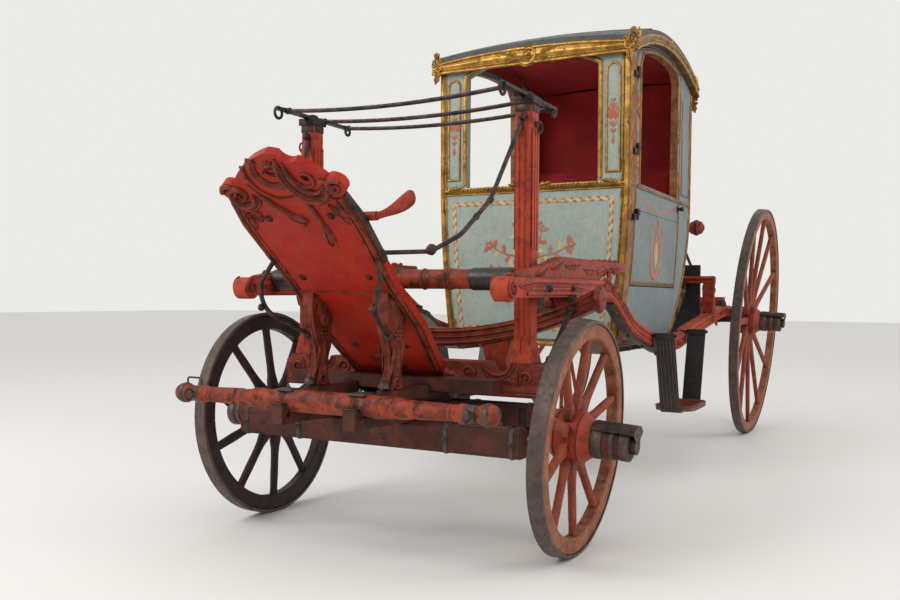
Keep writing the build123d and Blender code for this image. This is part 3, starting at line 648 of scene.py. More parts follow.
@dataclass(frozen=True)
class ForgedIron(Finish):
    """Hammered wrought iron gone brown-black: mostly dull oxide, brighter where it is rubbed."""

    dark: str
    rust: str
    rubbed: str
    metallic: float

    def dress(self, add: Callable) -> dict:
        """Oxide and rust in patches, hammer marks of 12 mm, brighter edges and painted shade in hollows.

        Args:
            add: adds a node to the material.
        Returns:
            the shader's inputs.
        """
        normal, edges = worn_edges(add, 2)
        colour = add("MixRGB", (noise(add, 45, detail=6), linear(self.dark), linear(self.rust)))
        rubbed = add("Math", (edges, 0.5), operation="MULTIPLY")
        colour = add("MixRGB", (rubbed, colour, linear(self.rubbed)))
        # the base colour is darkened in hollows by ambient occlusion: painted shade
        return {"Base Color": painted_hollow_shade(add, colour, 20, 0.5), "Metallic": self.metallic,
                "Roughness": add("MapRange", {"Value": noise(add, 20, detail=4), "To Min": 0.38,
                                              "To Max": 0.68}),
                "Normal": add("Bump", {"Height": noise(add, 12, detail=4), "Strength": 0.3, "Distance": MM,
                                       "Normal": normal})}


@dataclass(frozen=True)
class GoldLeaf(Finish):
    """Gold leaf over red bole on carved wood: soft shine on high places, bole and painted shade in low ones.
    """

    leaf: str
    dull: str
    bole: str

    def dress(self, add: Callable) -> dict:
        """Leaf dulled in patches, rubbed to the bole on edges and darkened by painted shade in the hollows.

        Args:
            add: adds a node to the material.
        Returns:
            the shader's inputs.
        """
        normal, edges = worn_edges(add, 1.5)
        flaws = add("Math", (noise(add, 24, detail=6, low=0.57, high=0.64), 0.75), operation="MULTIPLY")
        lost = add("Math", (flaws, add("Math", (edges, 0.35), operation="MULTIPLY")), operation="MAXIMUM")
        colour = add("MixRGB", (noise(add, 60, detail=5), linear(self.leaf), linear(self.dull)))
        colour = add("MixRGB", (lost, colour, linear(self.bole)))
        # the base colour is darkened in hollows by ambient occlusion: painted shade
        return {"Base Color": painted_hollow_shade(add, colour, 16, 0.35),
                "Metallic": add("Math", (0.8, lost), operation="SUBTRACT", use_clamp=True),
                "Roughness": add("MapRange", {"Value": lost, "To Min": 0.36, "To Max": 0.7}),
                "Normal": add("Bump", {"Height": noise(add, 5, detail=4), "Strength": 0.25,
                                       "Distance": 0.8 * MM, "Normal": normal})}


@dataclass(frozen=True)
class HarnessLeather(Finish):
    """Oak-tanned cowhide, blacked and dry: fine pebbled grain, creases and scuffs that show brown."""

    hide: str
    scuffed: str

    def dress(self, add: Callable) -> dict:
        """Pebbles from cells of 3.5 mm, coarser than the real 1 mm so that they show, scuffed edges and
        painted shade in hollows.

        Args:
            add: adds a node to the material.
        Returns:
            the shader's inputs.
        """
        normal, edges = worn_edges(add, 3)
        scuffs = add("Math", (edges, noise(add, 50, (1, 1, 2), 6, 0.5, 0.75)), operation="MAXIMUM")
        colour = add("MixRGB", (add("Math", (scuffs, 0.6), operation="MULTIPLY"), linear(self.hide),
                                linear(self.scuffed)))
        pebbles = add("TexVoronoi", {"Vector": add("TexCoord").outputs["Object"], "Scale": 1000 / 3.5})
        height = add("Math", (pebbles, add("Math", (scuffs, 1.5), operation="MULTIPLY")), operation="ADD")
        # the base colour is darkened in hollows by ambient occlusion: painted shade
        return {"Base Color": painted_hollow_shade(add, colour, 18, 0.5),
                "Roughness": add("MapRange", {"Value": scuffs, "To Min": 0.38, "To Max": 0.62}),
                "Normal": add("Bump", {"Height": height, "Strength": 0.3, "Distance": 0.8 * MM,
                                       "Normal": normal})}


@dataclass(frozen=True)
class WovenSilk(Finish):
    """Silk plush on the walls and cushions: soft sheen, a fine weave and slack shadows."""

    cloth: str
    worn: str
    lit: str
    sheen: str

    def dress(self, add: Callable) -> dict:
        """Two crossing thread waves of 2.4 mm, coarser than the real 0.5 mm, under uneven fading.

        Args:
            add: adds a node to the material.
        Returns:
            the shader's inputs.
        """
        place, thread = add("TexCoord").outputs["Object"], 1000 / 2.4 / FULL_TURN
        waves = [add("TexWave", {"Vector": place, "Distortion": 0.4, "Scale": thread},
                     bands_direction=way).outputs["Fac"] for way in "YZ"]
        weave = add("Math", tuple(waves), operation="MULTIPLY")
        colour = add("MixRGB", (noise(add, 180, detail=4), linear(self.cloth), linear(self.worn)))
        colour = add("MixRGB", (add("Math", (weave, 0.25), operation="MULTIPLY"), colour, linear(self.lit)))
        slack = add("Math", (noise(add, 70, (1, 1, 0.4)), 6), operation="MULTIPLY")
        folds = add("Math", (weave, slack), operation="ADD")
        return {"Base Color": colour, "Roughness": 0.85, "Sheen Weight": 0.5, "Sheen Roughness": 0.4,
                "Sheen Tint": linear(self.sheen),
                "Normal": add("Bump", {"Height": folds, "Strength": 0.35, "Distance": 0.8 * MM})}


class Finishes(Enum):
    """The carriage's finishes."""

    VERMILION = OldPaint("vermilion oil paint on ash", "red_wood", "#a5341c", "#b8482a", "#43211a")
    SCARLET = OldPaint("scarlet oil paint on board", "red_wood", "#a51d0c", "#b52d12", "#4a1710",
                       0.36, 0.6, 220, streak=(4, 1, 0.3), loss=0.22)
    BROWN_RED = OldPaint("brown-red paint on oak beams", "wheel_wood", "#43271f", "#5f3226", "#2a1c18",
                         0.5, 0.6, 90, streak=(0.4, 3, 3))
    TURNED_RED = OldPaint("worn red paint on turned ash", "red_wood", "#6f2f1f", "#a04229", "#38241c",
                          0.45, 0.8, 60, loss=0.85)
    FELLOE = OldPaint("worn red paint on felloes", "wheel_wood", "#87492f", "#a0684a", "#4c332a",
                      0.5, 0.7, 70)
    SPOKE = OldPaint("worn red paint on spokes", "wheel_wood", "#823624", "#96482f", "#3f2822",
                     0.48, 0.7, 60)
    NAVE = OldPaint("red paint on elm naves", "wheel_wood", "#9a3323", "#a8432f", "#3c211c",
                    0.4, 0.7, 60, 30, 0.7)
    # the front left wheel: a darkened copy of the red wheel paint, as painted shade
    PAINTED_SHADE_WHEEL = OldPaint("wheel paint darkened as painted shade", "wheel_wood", "#2c2122", "#41292a", "#1c1718",
                     0.45, 0.6, 80)
    CARVED = OldPaint("dark red paint in carving", "red_wood", "#882c1b", "#a03f26", "#3a1d16", 0.4, 0.8, 45)
    MAROON = OldPaint("browned red paint in deep carving", "red_wood", "#722a1c", "#8f3f2c", "#38201a",
                      0.42, 0.85, 50, loss=0.6)
    FRONT_BLUE = OldPaint("pale blue-green oil paint on panels", "pale_panel", "#9aaaa2", "#a7b1a7",
                          "#6f6a58", 0.5, 0.3, 260, 60, 0.35, (1, 1, 0.25), 0.1)
    SIDE_BLUE = OldPaint("grey-blue oil paint on side panels", "pale_panel", "#727f82", "#838e8e", "#5b5347",
                         0.5, 0.4, 300, 70, 0.5, (1, 1, 0.25), 0.16)
    CREAM = OldPaint("cream ornament paint", "pale_panel", "#d3bf8e", "#c4ab76", "#97947c",
                     0.55, 0.2, 50, loss=0.5)
    ORANGE = OldPaint("orange-red ornament paint", "pale_panel", "#b0573b", "#b9785a", "#948f80",
                      0.55, 0.2, 50, loss=0.7)
    STILE = OldPaint("orange-brown paint rubbed to the wood", "gilt", "#7f4f35", "#a2714a", "#4b3123",
                     0.5, 0.7, 50)
    BARE_WOOD = OldPaint("unpainted oak boards", "pale_panel", "#6b4d38", "#7d5d45", "#3c2a20",
                         0.65, 0.4, 120, streak=(0.3, 4, 4))
    IRON = ForgedIron("forged iron", "iron", "#262224", "#4f3a31", "#77706e", 0.55)
    TYRE = ForgedIron("worn iron tyre", "tyre_iron", "#4c413f", "#645048", "#857a75", 0.5)
    GREY_IRON = ForgedIron("grey forged iron plate", "iron", "#45403f", "#5b4c45", "#857f7a", 0.6)
    GILT = GoldLeaf("gold leaf on carving", "gilt", "#bd9042", "#8a6329", "#4c2815")
    WORN_GILT = GoldLeaf("worn gold leaf", "gilt", "#966b35", "#6d4925", "#43261a")
    BLACK_LEATHER = HarnessLeather("blacked harness leather", "black_leather", "#191919", "#3c342f")
    BRACE_LEATHER = HarnessLeather("brown brace leather", "brace_leather", "#4f3828", "#806046")
    SILK = WovenSilk("crimson silk plush", "crimson_cloth", "#a81c1e", "#8a1518", "#b02a28", "#e07a70")

    def material(self) -> bpy.types.Material:
        """The finish's material."""
        return self.value.material()


@dataclass
class Studio:
    """A pale floor, soft plain light and the camera at the photo's viewpoint, in metres."""

    stand: tuple = (1.953, -5.112, 1.0)
    heading: float = math.radians(28)
    pitch: float = math.radians(0.2)
    roll: float = math.radians(0.5)
    lens_mm: float = 36
    floor_half: float = 40
    box_size: float = 4
    sky_level: float = 0.78
    backdrop: str = "#ebeae6"
    floor_colour: str = "#e9e7e3"

    def aim(self, obj: bpy.types.Object, right: Array, back: Array, place: tuple) -> None:
        """Sets an object at a place, with its right side and its back one way each.

        Args:
            obj: a camera or a lamp.
            right, back: unit vectors, square to each other.
            place: where it stands.
        """
        matrix = np.eye(4)
        matrix[:3] = columns(right, np.cross(back, right), back, place)
        obj.matrix_world = Matrix(matrix.tolist())

    def camera(self) -> None:
        """The camera: it looks along its heading, tipped down by pitch, its right side raised by roll."""
        level = np.array([math.cos(self.heading), math.sin(self.heading), 0])
        ahead = np.cross(UP, level) * math.cos(self.pitch) + np.array(DOWN) * math.sin(self.pitch)
        right = level * math.cos(self.roll) + np.cross(level, ahead) * math.sin(self.roll)
        data = bpy.data.cameras.new("viewpoint")
        data.lens = self.lens_mm
        data.sensor_width = 36
        data.clip_end = 200
        camera = new_object("viewpoint", data)
        self.aim(camera, right, -ahead, self.stand)
        bpy.context.scene.camera = camera

    def lamp(self, name: str, place: tuple, target: tuple, watts: float) -> None:
        """A square soft box at a place, facing a target.

        Args:
            name: the lamp's name.
            place, target: where it stands and what it faces.
            watts: its power.
        """
        data = bpy.data.lights.new(name, "AREA")
        data.size = self.box_size
        data.energy = watts
        back = unit(np.subtract(place, target))
        self.aim(new_object(name, data), unit(np.cross(UP, back)), back, place)

    def floor(self) -> None:
        """A pale matt floor, much wider than the carriage, that keeps its shadow."""
        mesh = bpy.data.meshes.new("studio_floor")
        corners = np.array([(-1, -1, 0), (1, -1, 0), (1, 1, 0), (-1, 1, 0)]) * self.floor_half
        mesh.from_pydata(corners.tolist(), [], [(0, 1, 2, 3)])
        material = bpy.data.materials.new("matt pale studio floor")
        material.use_nodes = True
        shader = material.node_tree.nodes["Principled BSDF"]
        shader.inputs["Base Color"].default_value = linear(self.floor_colour)
        shader.inputs["Roughness"].default_value = 0.8
        mesh.materials.append(material)
        new_object("studio_floor", mesh)

    def world(self) -> None:
        """An even pale sky: seen directly or mirrored it is the backdrop, and it lights at its level."""
        world = bpy.data.worlds.new("studio sky")
        bpy.context.scene.world = world
        world.use_nodes = True
        world.node_tree.nodes.clear()
        add = partial(add_node, world.node_tree)
        rays = add("LightPath").outputs
        seen = add("Math", (rays["Is Camera Ray"], rays["Is Glossy Ray"]), operation="ADD", use_clamp=True)
        seen = add("Math", (seen, rays["Is Transmission Ray"]), operation="ADD", use_clamp=True)
        light = add("Background", (linear("#ffffff"), self.sky_level))
        shown = add("Background", (linear(self.backdrop), 1.0))
        add("OutputWorld", (add("MixShader", (seen, light, shown)),))

    def build(self) -> None:
        """Sets up camera, floor, sky and two soft boxes."""
        bpy.context.scene.view_settings.view_transform = "Standard"
        self.camera()
        self.floor()
        self.world()
        self.lamp("key_soft_box", (-3.5, -7.0, 6.0), (0, -0.6, 1.0), 310)
        self.lamp("side_soft_box", (7.5, 0.5, 4.5), (0, 0.5, 1.2), 170)


@dataclass
class Carving:
    """Relief on a face. Places are (across, up) in millimetres from the face's origin.

    Attributes:
        form: takes the surfaces.
        origin: where (0, 0) is.
        across, up: the face's two directions; it faces along across x up.
        follow: turns points on the flat face into points on the real, curved one.
        hand: 1, or -1 where everything is mirrored from one side of the face to the other.
    """

    form: Form
    origin: tuple
    across: tuple = RIGHT
    up: tuple = UP
    follow: Callable | None = None
    hand: int = 1

    @property
    def out(self) -> Array:
        """The way the face looks."""
        return np.cross(self.across, self.up)

    def hands(self) -> list["Carving"]:
        """The face's two halves, each a mirror image of the other."""
        return [replace(self, hand=hand) for hand in SIDES]

    def at(self, places: Array) -> Array:
        """Places (n, 2) as points (n, 3).

        Args:
            places: (n, 2), across and up.
        Returns:
            the points.
        """
        places = np.asarray(places, float) * (self.hand, 1)
        points = self.origin + places[..., :1] * self.across + places[..., 1:] * self.up
        return self.follow(points) if self.follow else points

    def line(self, places: Array, half_width: Array | float, height: Array | float, shape: Array = BEAD,
             closed: bool = False) -> None:
        """A moulding along places."""
        self.form.rib(self.at(places), self.out, half_width, height, shape, closed)

    def scroll(self, x: float, up: float, start_r: float, end_r: float, start: float, turns: float,
               wide: float, high: float, shape: Array = BEAD, eye: bool = True) -> None:
        """A volute: its radius shrinks evenly on a log scale, and its lip narrows to its eye.

        Args:
            x, up: its middle.
            start_r, end_r: its radius where it starts and where it ends.
            start, turns: where it starts, in turns from across, and how far it winds, below 0 for clockwise.
            wide, high: the lip's half width and height where it starts.
            shape: the lip's section.
            eye: whether a boss sits in the eye.
        """
        t = np.linspace(0, 1, int(24 * abs(turns)) + 8)
        radius = start_r * (end_r / start_r) ** t
        angle = FULL_TURN * (start + turns * t)
        self.line(columns(x + radius * np.cos(angle), up + radius * np.sin(angle)), wide * (1 - 0.55 * t),
                  high * (1 - 0.25 * t), shape)
        if eye:
            self.boss(x, up, end_r * 0.9, high * 1.1)

    def boss(self, x: float, up: float, radius: float, height: float) -> None:
        """A round button."""
        self.form.dome(self.at((x, up)), self.out, radius, height, 12)

    def leaf(self, x: float, up: float, angle: float, length: float, half_width: float, height: float,
             bend: float = 0.0, lobes: int = 4, lift: float = 0.0) -> None:
        """A leaf that grows from a place at an angle.

        Args:
            x, up: its root.
            angle: degrees from across towards up.
            length, half_width, height, bend, lobes, lift: as Form.leaf takes them.
        """
        a = math.radians(angle)
        way = math.cos(a) * self.hand * np.array(self.across) + math.sin(a) * np.array(self.up)
        self.form.leaf(self.at((x, up)), way, self.out, length, half_width, height, bend * self.hand, lobes,
                       lift)

    def leaves(self, *rows: tuple) -> None:
        """Several leaves, each from a row of what leaf takes."""
        for row in rows:
            self.leaf(*row)

    def tapered(self, places: Array, wide: float, high: float, count: int = 40, shape: Array = BEAD) -> None:
        """A flowing stem near a few places, thickest in the middle: its width runs as a sine.

        Args:
            places: the few places (n, 2).
            wide, high: its half width and height in the middle.
            count: how many points.
            shape: its section.
        """
        swell = np.sin(np.pi * np.linspace(0.06, 0.94, count)) ** 0.6
        self.line(smoothed(places, count), wide * swell, high * swell, shape)


@dataclass
class Wheel:
    """A dished, leaning wheel drawn about x, its nave's middle at the origin, and then set on its arm."""

    axle: str
    side: str
    radius: float
    dish: float
    spokes: int
    half_track: float
    axle_y: float
    woods: tuple
    lean: float = math.radians(4)
    tyre_width: float = 60
    tyre_thick: float = 14
    felloe_width: float = 52
    felloe_depth: float = 62
    joint: float = 1.6
    bore: float = 26.4

    @property
    def rim(self) -> float:
        """The felloes' inner radius."""
        return self.radius - self.tyre_thick - self.felloe_depth

    def tread(self, along: float) -> float:
        """The coned tread's radius at a place along the axle."""
        return self.radius - (along - self.dish) * math.tan(self.lean)

    def hoops(self, *tables: list, sides: int = 64) -> Form:
        """Rings turned about the axle, one from each table of (along, radius).

        Args:
            tables: rows of (along, radius), closed on themselves.
            sides: steps round.
        Returns:
            the form.
        """
        form = Form()
        for rows in tables:
            form.lathe(rows, (0, 0, 0), RIGHT, sides, ring=True)
        return form

    def felloes(self) -> Form:
        """One felloe for two spokes: an eased rectangle carried round, with joints between neighbours.

        Returns:
            the form.
        """
        half = self.felloe_width / 2
        inner = (-half, 6), (-half + 6, 0), (half - 6, 0), (half, 6)
        rows = [(self.dish + s, self.rim + e) for s, e in inner]
        rows += [(self.dish + s, self.tread(self.dish + s) - self.tyre_thick - 0.3 - e)
                 for s, e in ((half, 3), (half - 3, 0), (-half + 3, 0), (-half, 3))]
        along, out = np.array(rows).T
        form = Form()
        count = self.spokes // 2
        for start in spins(count) + math.pi / self.spokes:
            angle = start + np.linspace(0, FULL_TURN / count - self.joint / self.rim, 19)[:, None]
            form.grid(columns(along, -np.sin(angle) * out, np.cos(angle) * out))
        return form

    def spoke_set(self) -> Form:
        """Spokes whose section goes from a squared root to an oval, by a falling superellipse power.

        Returns:
            the form.
        """
        t = np.linspace(0, 1, 20)[:, None]
        turn = spins(16)
        power = 2 / (2.1 + 3.5 * (1 - fade(0.08, 0.26, t)) + 1.2 * fade(0.86, 1.0, t))
        wide = 28 - 11 * t - 4 * np.sin(np.pi * fade(0.1, 0.7, t))
        x = self.dish * t + (17 - 2 * t) * power_wave(np.cos(turn), power)
        y = wide * power_wave(np.sin(turn), power)
        z = 93 + (self.rim + 10 - 93) * t
        form = Form()
        for a in spins(self.spokes):
            form.grid(columns(x, y * math.cos(a) - z * math.sin(a), y * math.sin(a) + z * math.cos(a)))
        return form

    def nave(self) -> Form:
        """The turned elm nave: its belly, with quirks beside it.

        Returns:
            the form.
        """
        return self.hoops([(-98, self.bore), (-98, 70), (-94, 72), (-84, 73), (-82, 77), (-62, 92),
                           (-48, 102), (-46, 99), (-42, 99), (-40, 105), (40, 105), (42, 99), (46, 99),
                           (48, 101), (60, 91), (76, 78), (87, 72), (90, 67), (90, self.bore)])

    def neck(self) -> Form:
        """The nave's long outer neck, dark with grease."""
        return self.hoops([(89.5, self.bore), (89.5, 67), (118, 67), (150, 65), (205, 60), (235, 60),
                           (235, self.bore)])

    def irons(self) -> Form:
        """Four hoops on the nave, the shrunk tyre with eased edges, and its rivets inside the felloes.

        Returns:
            the form.
        """
        form = self.hoops(*([(start, radius - 6), (start, radius - 1.5), (start + 2, radius),
                             (end - 2, radius), (end, radius - 1.5), (end, radius - 6)]
                            for start, end, radius in ((-97, -82, 76), (92, 132, 70.5), (160, 178, 67.5),
                                                       (198, 234, 63.5))))
        low, high = self.dish - self.tyre_width / 2, self.dish + self.tyre_width / 2
        rows = [(at, self.tread(at) - drop)
                for at, drop in ((low, 3), (low + 3, 0), (high - 3, 0), (high, 3),
                                 (high, self.tyre_thick), (low, self.tyre_thick))]
        form.lathe(rows, (0, 0, 0), RIGHT, 128, ring=True)
        for number, a in enumerate(spins(self.spokes) + math.pi / self.spokes):
            inward = np.array((0, math.sin(a), -math.cos(a)))
            form.dome((self.dish + 10 * (-1) ** number, 0, 0) - inward * (self.rim + 1), inward, 8, 4, 8)
        return form

    def build(self) -> None:
        """Makes the wheel's five pieces and sets them on the axle's arm."""
        label = f"{self.axle}_{self.side}"
        height = self.radius * math.cos(self.lean) + self.dish * math.sin(self.lean)
        felloe, spoke, nave = self.woods
        for part, form, finish, stands_for in (
                ("felloes", self.felloes(), felloe, f"wheel_{label}"),
                ("spokes", self.spoke_set(), spoke, ""), ("nave", self.nave(), nave, ""),
                ("nave_neck", self.neck(), Finishes.BROWN_RED, ""),
                ("tyre_and_hoops", self.irons(), Finishes.TYRE, f"wheel_irons_{label}")):
            form.placed(self.side, self.lean, (self.half_track, self.axle_y, height))
            form.piece(f"{part}_{label}", finish, f"wheel_{label}", stands_for)


@dataclass
class Wheels:
    """The four wheels. The front left one is painted nearly black, as painted shade."""

    wheelbase: float = 3760

    def build(self) -> None:
        """Makes them from one table of sizes."""
        red = (Finishes.FELLOE, Finishes.SPOKE, Finishes.NAVE)
        sizes = {"front": (460, 30, 10, 735, 0), "rear": (840, 55, 12, 750, self.wheelbase)}
        for axle, numbers in sizes.items():
            for side in ("right", "left"):
                # the front left wheel takes the darkened paint: painted shade
                in_painted_shade = (axle, side) == ("front", "left")
                Wheel(axle, side, *numbers, (Finishes.PAINTED_SHADE_WHEEL,) * 3 if in_painted_shade else red).build()


@dataclass
class ForeCarriage:
    """Splinter bar, crossbar and axle bed irons, which steer with the front axle."""

    splinter_y: float = -630
    splinter_z: float = 607.8
    splinter_half: float = 709
    crossbar_y: float = -290
    crossbar_low: float = 409.8
    crossbar_high: float = 517.8
    bed_low: float = 489.8
    bed_high: float = 572.8

    def splinter_bar(self) -> None:
        """The turned bar: rings at its necks and a slanting rope carving between them.

        The radius follows the turned outline; the carving takes off a sine of the turn plus the way along.
        """
        x = np.linspace(-self.splinter_half, self.splinter_half, 520)[:, None]
        far = np.abs(x)
        turn = spins(48)
        radius = np.interp(far, [0, 270, 400, 520, 560, 566, 590, 596, 633, 653, 668, 689, 703, 709],
                           [42, 42, 33, 30, 30, 34, 34, 29, 28, 36, 38, 37, 30, 20])
        grooves = sum(np.exp(-((far - ring) / 3.5) ** 2) for ring in (150, 162, 286, 300, 402, 520, 540))
        rope = fade(0.25, 0.95, np.abs(np.sin(1.5 * turn + far / 34)))
        roped = ((far > 164) & (far < 284)) | ((far > 308) & (far < 396))
        leafy = (far < 148) * (2.6 * np.abs(np.sin(4 * turn)) * np.abs(np.cos(x / 37)) ** 0.5 - 1)
        radius = radius - 3.5 * grooves - 5.0 * roped * (1 - rope) + np.minimum(leafy, 0)
        bar = columns(x, self.splinter_y + radius * np.cos(turn), self.splinter_z + radius * np.sin(turn))
        Form().grid(bar).piece("splinter_bar_turned", Finishes.TURNED_RED, "fore_carriage", "splinter_bar")

    def splinter_irons(self) -> None:
        """Hoops and rings at the bar's ends, plates bolted on it and a staple."""
        form = Form()
        y, z, turn = self.splinter_y, self.splinter_z, spins(24)
        for side in SIDES:
            for x, rows in ((671, [(-10, 27), (-10, 38.5), (-8, 40), (8, 40), (10, 38.5), (10, 27)]),
                            (612, [(-16, 26), (-16, 31), (16, 31), (16, 26)])):
                form.lathe(rows, (side * x, y, z), RIGHT, 40, ring=True)
            form.slab((side * 160 - 34, y - 30, z + 36), (side * 160 + 34, y + 34, z + 45))
            form.bolt((side * 160, y, z + 44), UP, 9, 10)
            form.tube(columns(side * 612, y - 52 - 22 * np.cos(turn), z + 22 * np.sin(turn)), 4.5,
                      closed=True, reference=RIGHT)
        staple = filleted([(-664, 28), (-664, 62), (-592, 62), (-592, 26)], [10, 10])
        form.tube(columns(staple[:, 0], y, z + staple[:, 1]), 4)
        form.piece("splinter_bar_irons", Finishes.GREY_IRON, "fore_carriage")

    def crossbar_irons(self) -> None:
        """Bands round the crossbar, a flat iron along its top and bolts through its face."""
        form = Form()
        front, back = self.crossbar_y - 40, self.crossbar_y + 40
        low, high = self.crossbar_low, self.crossbar_high
        for x in (-618, -345, 345, 618):
            form.slab((x - 19, front - 3, low - 3), (x + 19, back + 3, high + 3), 12)
            form.bolt((x, front - 2, (low + high) / 2), FRONT, 8, 9)
        for side in SIDES:
            form.slab((side * 490 - 105, front + 16, high - 2), (side * 490 + 105, back - 16, high + 5))
            for x in (420, 560):
                form.bolt((side * x, self.crossbar_y, high + 4), UP, 8, 9)
            form.bolt((side * 60, front, low + 50), FRONT, 8, 9)
        form.piece("crossbar_irons", Finishes.GREY_IRON, "fore_carriage")

    def bed_irons(self) -> None:
        """Clips that hold the axletree to its bed, and bolts through the futchells."""
        form = Form()
        for x in (-540, -300, 300, 540):
            form.slab((x - 16, -53, self.bed_low - 48), (x + 16, 53, self.bed_high + 3), 5)
            for y in (-30, 30):
                form.bolt((x, y, self.bed_low - 47), DOWN, 7, 9)
        for side in SIDES:
            for y, z in ((-665, 557.8), (-590, 540), (150, 545)):
                form.bolt((side * 185, y, z), (side, 0, 0), 8, 9)
            form.slab((side * 160 - 27, -705, 598.9), (side * 160 + 27, -672, 603))
        form.piece("axle_bed_irons", Finishes.IRON, "fore_carriage")

    def build(self) -> None:
        """Makes the bars and their irons."""
        self.splinter_bar()
        self.splinter_irons()
        self.crossbar_irons()
        self.bed_irons()


@dataclass
class Footboard:
    """The leaning footboard: carved scrolls at its head, moulded edges, bolts and a strap."""

    foot: tuple = (-100, 700)
    run: float = 900
    rise: float = 765
    half_thick: float = 17.5

    def on_board(self, x: float, up: float, behind: float) -> tuple:
        """A place by x, the way up the board and the way behind its middle plane.

        Args:
            x, up: across the board and up along it.
            behind: how far back of its middle plane.
        Returns:
            the place.
        """
        length = math.hypot(self.run, self.rise)
        return (x, self.foot[0] + (behind * self.rise - up * self.run) / length,
                self.foot[1] + (behind * self.run + up * self.rise) / length)

    def carving(self, form: Form) -> Carving:
        """The board's front face as a carver's field."""
        way = tuple(unit(np.array((0, -self.run, self.rise))))
        return Carving(form, self.on_board(0, 0, -self.half_thick), RIGHT, way)

    def scrolls(self) -> None:
        """Volutes with lips, a knobbed ring round the great eye, long stems and curved lips."""
        form = Form()
        field = self.carving(form)
        for row in ((-172, 1022, 62, 17, 0.98, -1.35, 15, 19, OGEE), (-172, 1022, 80, 66, 0.05, -0.42, 8, 9),
                    (20, 1110, 82, 30, 0.36, 1.1, 18, 15, OGEE), (14, 1096, 112, 96, 0.42, 0.44, 9, 10),
                    (140, 1078, 44, 18, 0.55, 0.9, 8, 9)):
            field.scroll(*row, eye=False)
        for row in ((198, 1030, 34, 9, 0.3, -1.2, 9, 11), (-205, 1038, 36, 9, 0.5, -1.3, 11, 12),
                    (232, 1032, 36, 9, 0.1, 1.3, 11, 12)):
            field.scroll(*row)
        for turn in spins(12):
            field.boss(24 + 27 * math.cos(turn), 1130 + 27 * math.sin(turn), 8, 9)
        field.boss(16, 874, 13, 12)
        for stem in (([(62, 1166), (48, 1090), (78, 1010), (140, 972), (196, 1000), (206, 1046)],
                      20, 24, 48, OGEE),
                     ([(84, 1150), (80, 1094), (104, 1034), (150, 1008), (184, 1034)], 11, 18, 40),
                     ([(-112, 1068), (-84, 1020), (-52, 960), (4, 912), (20, 876)], 11, 16, 48),
                     ([(82, 1004), (98, 930), (92, 850), (106, 780)], 10, 14, 48)):
            field.tapered(*stem)
        field.leaves((-26, 932, -48, 90, 22, 18, 0.5, 2), (98, 866, -92, 110, 22, 17, -0.35, 2),
                     (-190, 940, 250, 87.4, 19, 16, 0.5, 3), (-160, 958, 285, 69, 19, 16, -0.4, 3),
                     (168, 958, -60, 96.6, 19, 16, 0.7, 3), (208, 968, -95, 103.5, 19, 16, 0.2, 3),
                     (0, 26, 90, 150, 46, 11))
        for half in field.hands():
            half.leaves((24, 20, 52, 120, 26, 9, 0.5, 3), (190, 474, 258, 92, 13, 8, 0.4, 3))
            half.scroll(168, 486, 26, 7, 0.5, 1.2, 7, 8)
        form.piece("footboard_scrolls", Finishes.MAROON)

    def edges(self) -> None:
        """A double moulding down both edges and a fillet across the joint between the two boards."""
        form = Form()
        field = self.carving(form)
        path = smoothed([(210, -30), (252, 300), (236, 510), (243, 640), (256, 870), (236, 985)], 60)
        path = path[path[:, 1] > 12]
        for half in field.hands():
            half.line(path - (12, 0), 10, 10, OGEE)
            half.line(path - (32, 0), 6, 6)
        field.line([(-205, 509), (205, 509)], 4, 3, STRIP)
        form.piece("footboard_edges", Finishes.TURNED_RED)

    def irons(self) -> None:
        """Bolt heads, the strap on the right edge and nuts behind."""
        form = Form()
        field = self.carving(form)
        for x, up in ((-118, 905), (150, 905), (-150, 590), (150, 590), (-120, 180), (120, 180)):
            field.boss(x, up, 15, 9)
            form.bolt(self.on_board(x, up, self.half_thick), (0, self.rise, self.run), 9, 9)
        for side in SIDES:
            strap = [self.on_board(side * half, up, 0) for up, half in ((660, 246), (870, 258), (985, 240))]
            form.rib(strap, (side, 0, 0), 15, 5, STRIP)
            form.bolt(self.on_board(side * 250, 700, 0), (side, 0, 0), 11, 12)
        form.piece("footboard_irons", Finishes.IRON)

    def handle(self) -> None:
        """The handle behind the board, with its knob, and the paddle: a shoe-shaped blade.

        Along the blade's length t the half-height grows from 13 to 27 mm and closes as a quarter circle
        at the tip, the middle line sags between its ends, and each section is a superellipse of power 2.6.
        """
        form = Form()
        _, y, z = self.on_board(0, 850, self.half_thick + 14)
        form.lathe([(-271, 4), (-270, 20), (-262, 27), (-240, 27), (-230, 17), (290, 16), (292, 4)],
                   (0, y, z), RIGHT, 28)
        t = np.linspace(0, 1, 48)[:, None]
        ends = 1
        for near in ((t - 0.86) / 0.14, (0.06 - t) / 0.06):
            ends = ends * np.sqrt(np.clip(1 - np.clip(near, 0, 1) ** 2, 0.0004, 1))
        tall, thick = (13 + 14 * fade(0.15, 0.8, t)) * ends, (9 + 3 * fade(0.2, 0.7, t)) * ends
        along = 172 * (t - 0.5)
        rise = -9 * np.sin(np.pi * t) + 6 * t ** 2 + tall * power_wave(np.sin(spins(28)), 0.77)
        lean = math.radians(22)
        form.grid(columns(360 + along * math.cos(lean) - rise * math.sin(lean),
                          y + thick * power_wave(np.cos(spins(28)), 0.77),
                          z + 30 + along * math.sin(lean) + rise * math.cos(lean)))
        form.piece("handle_turned", Finishes.CARVED, replaces="handle_bar")

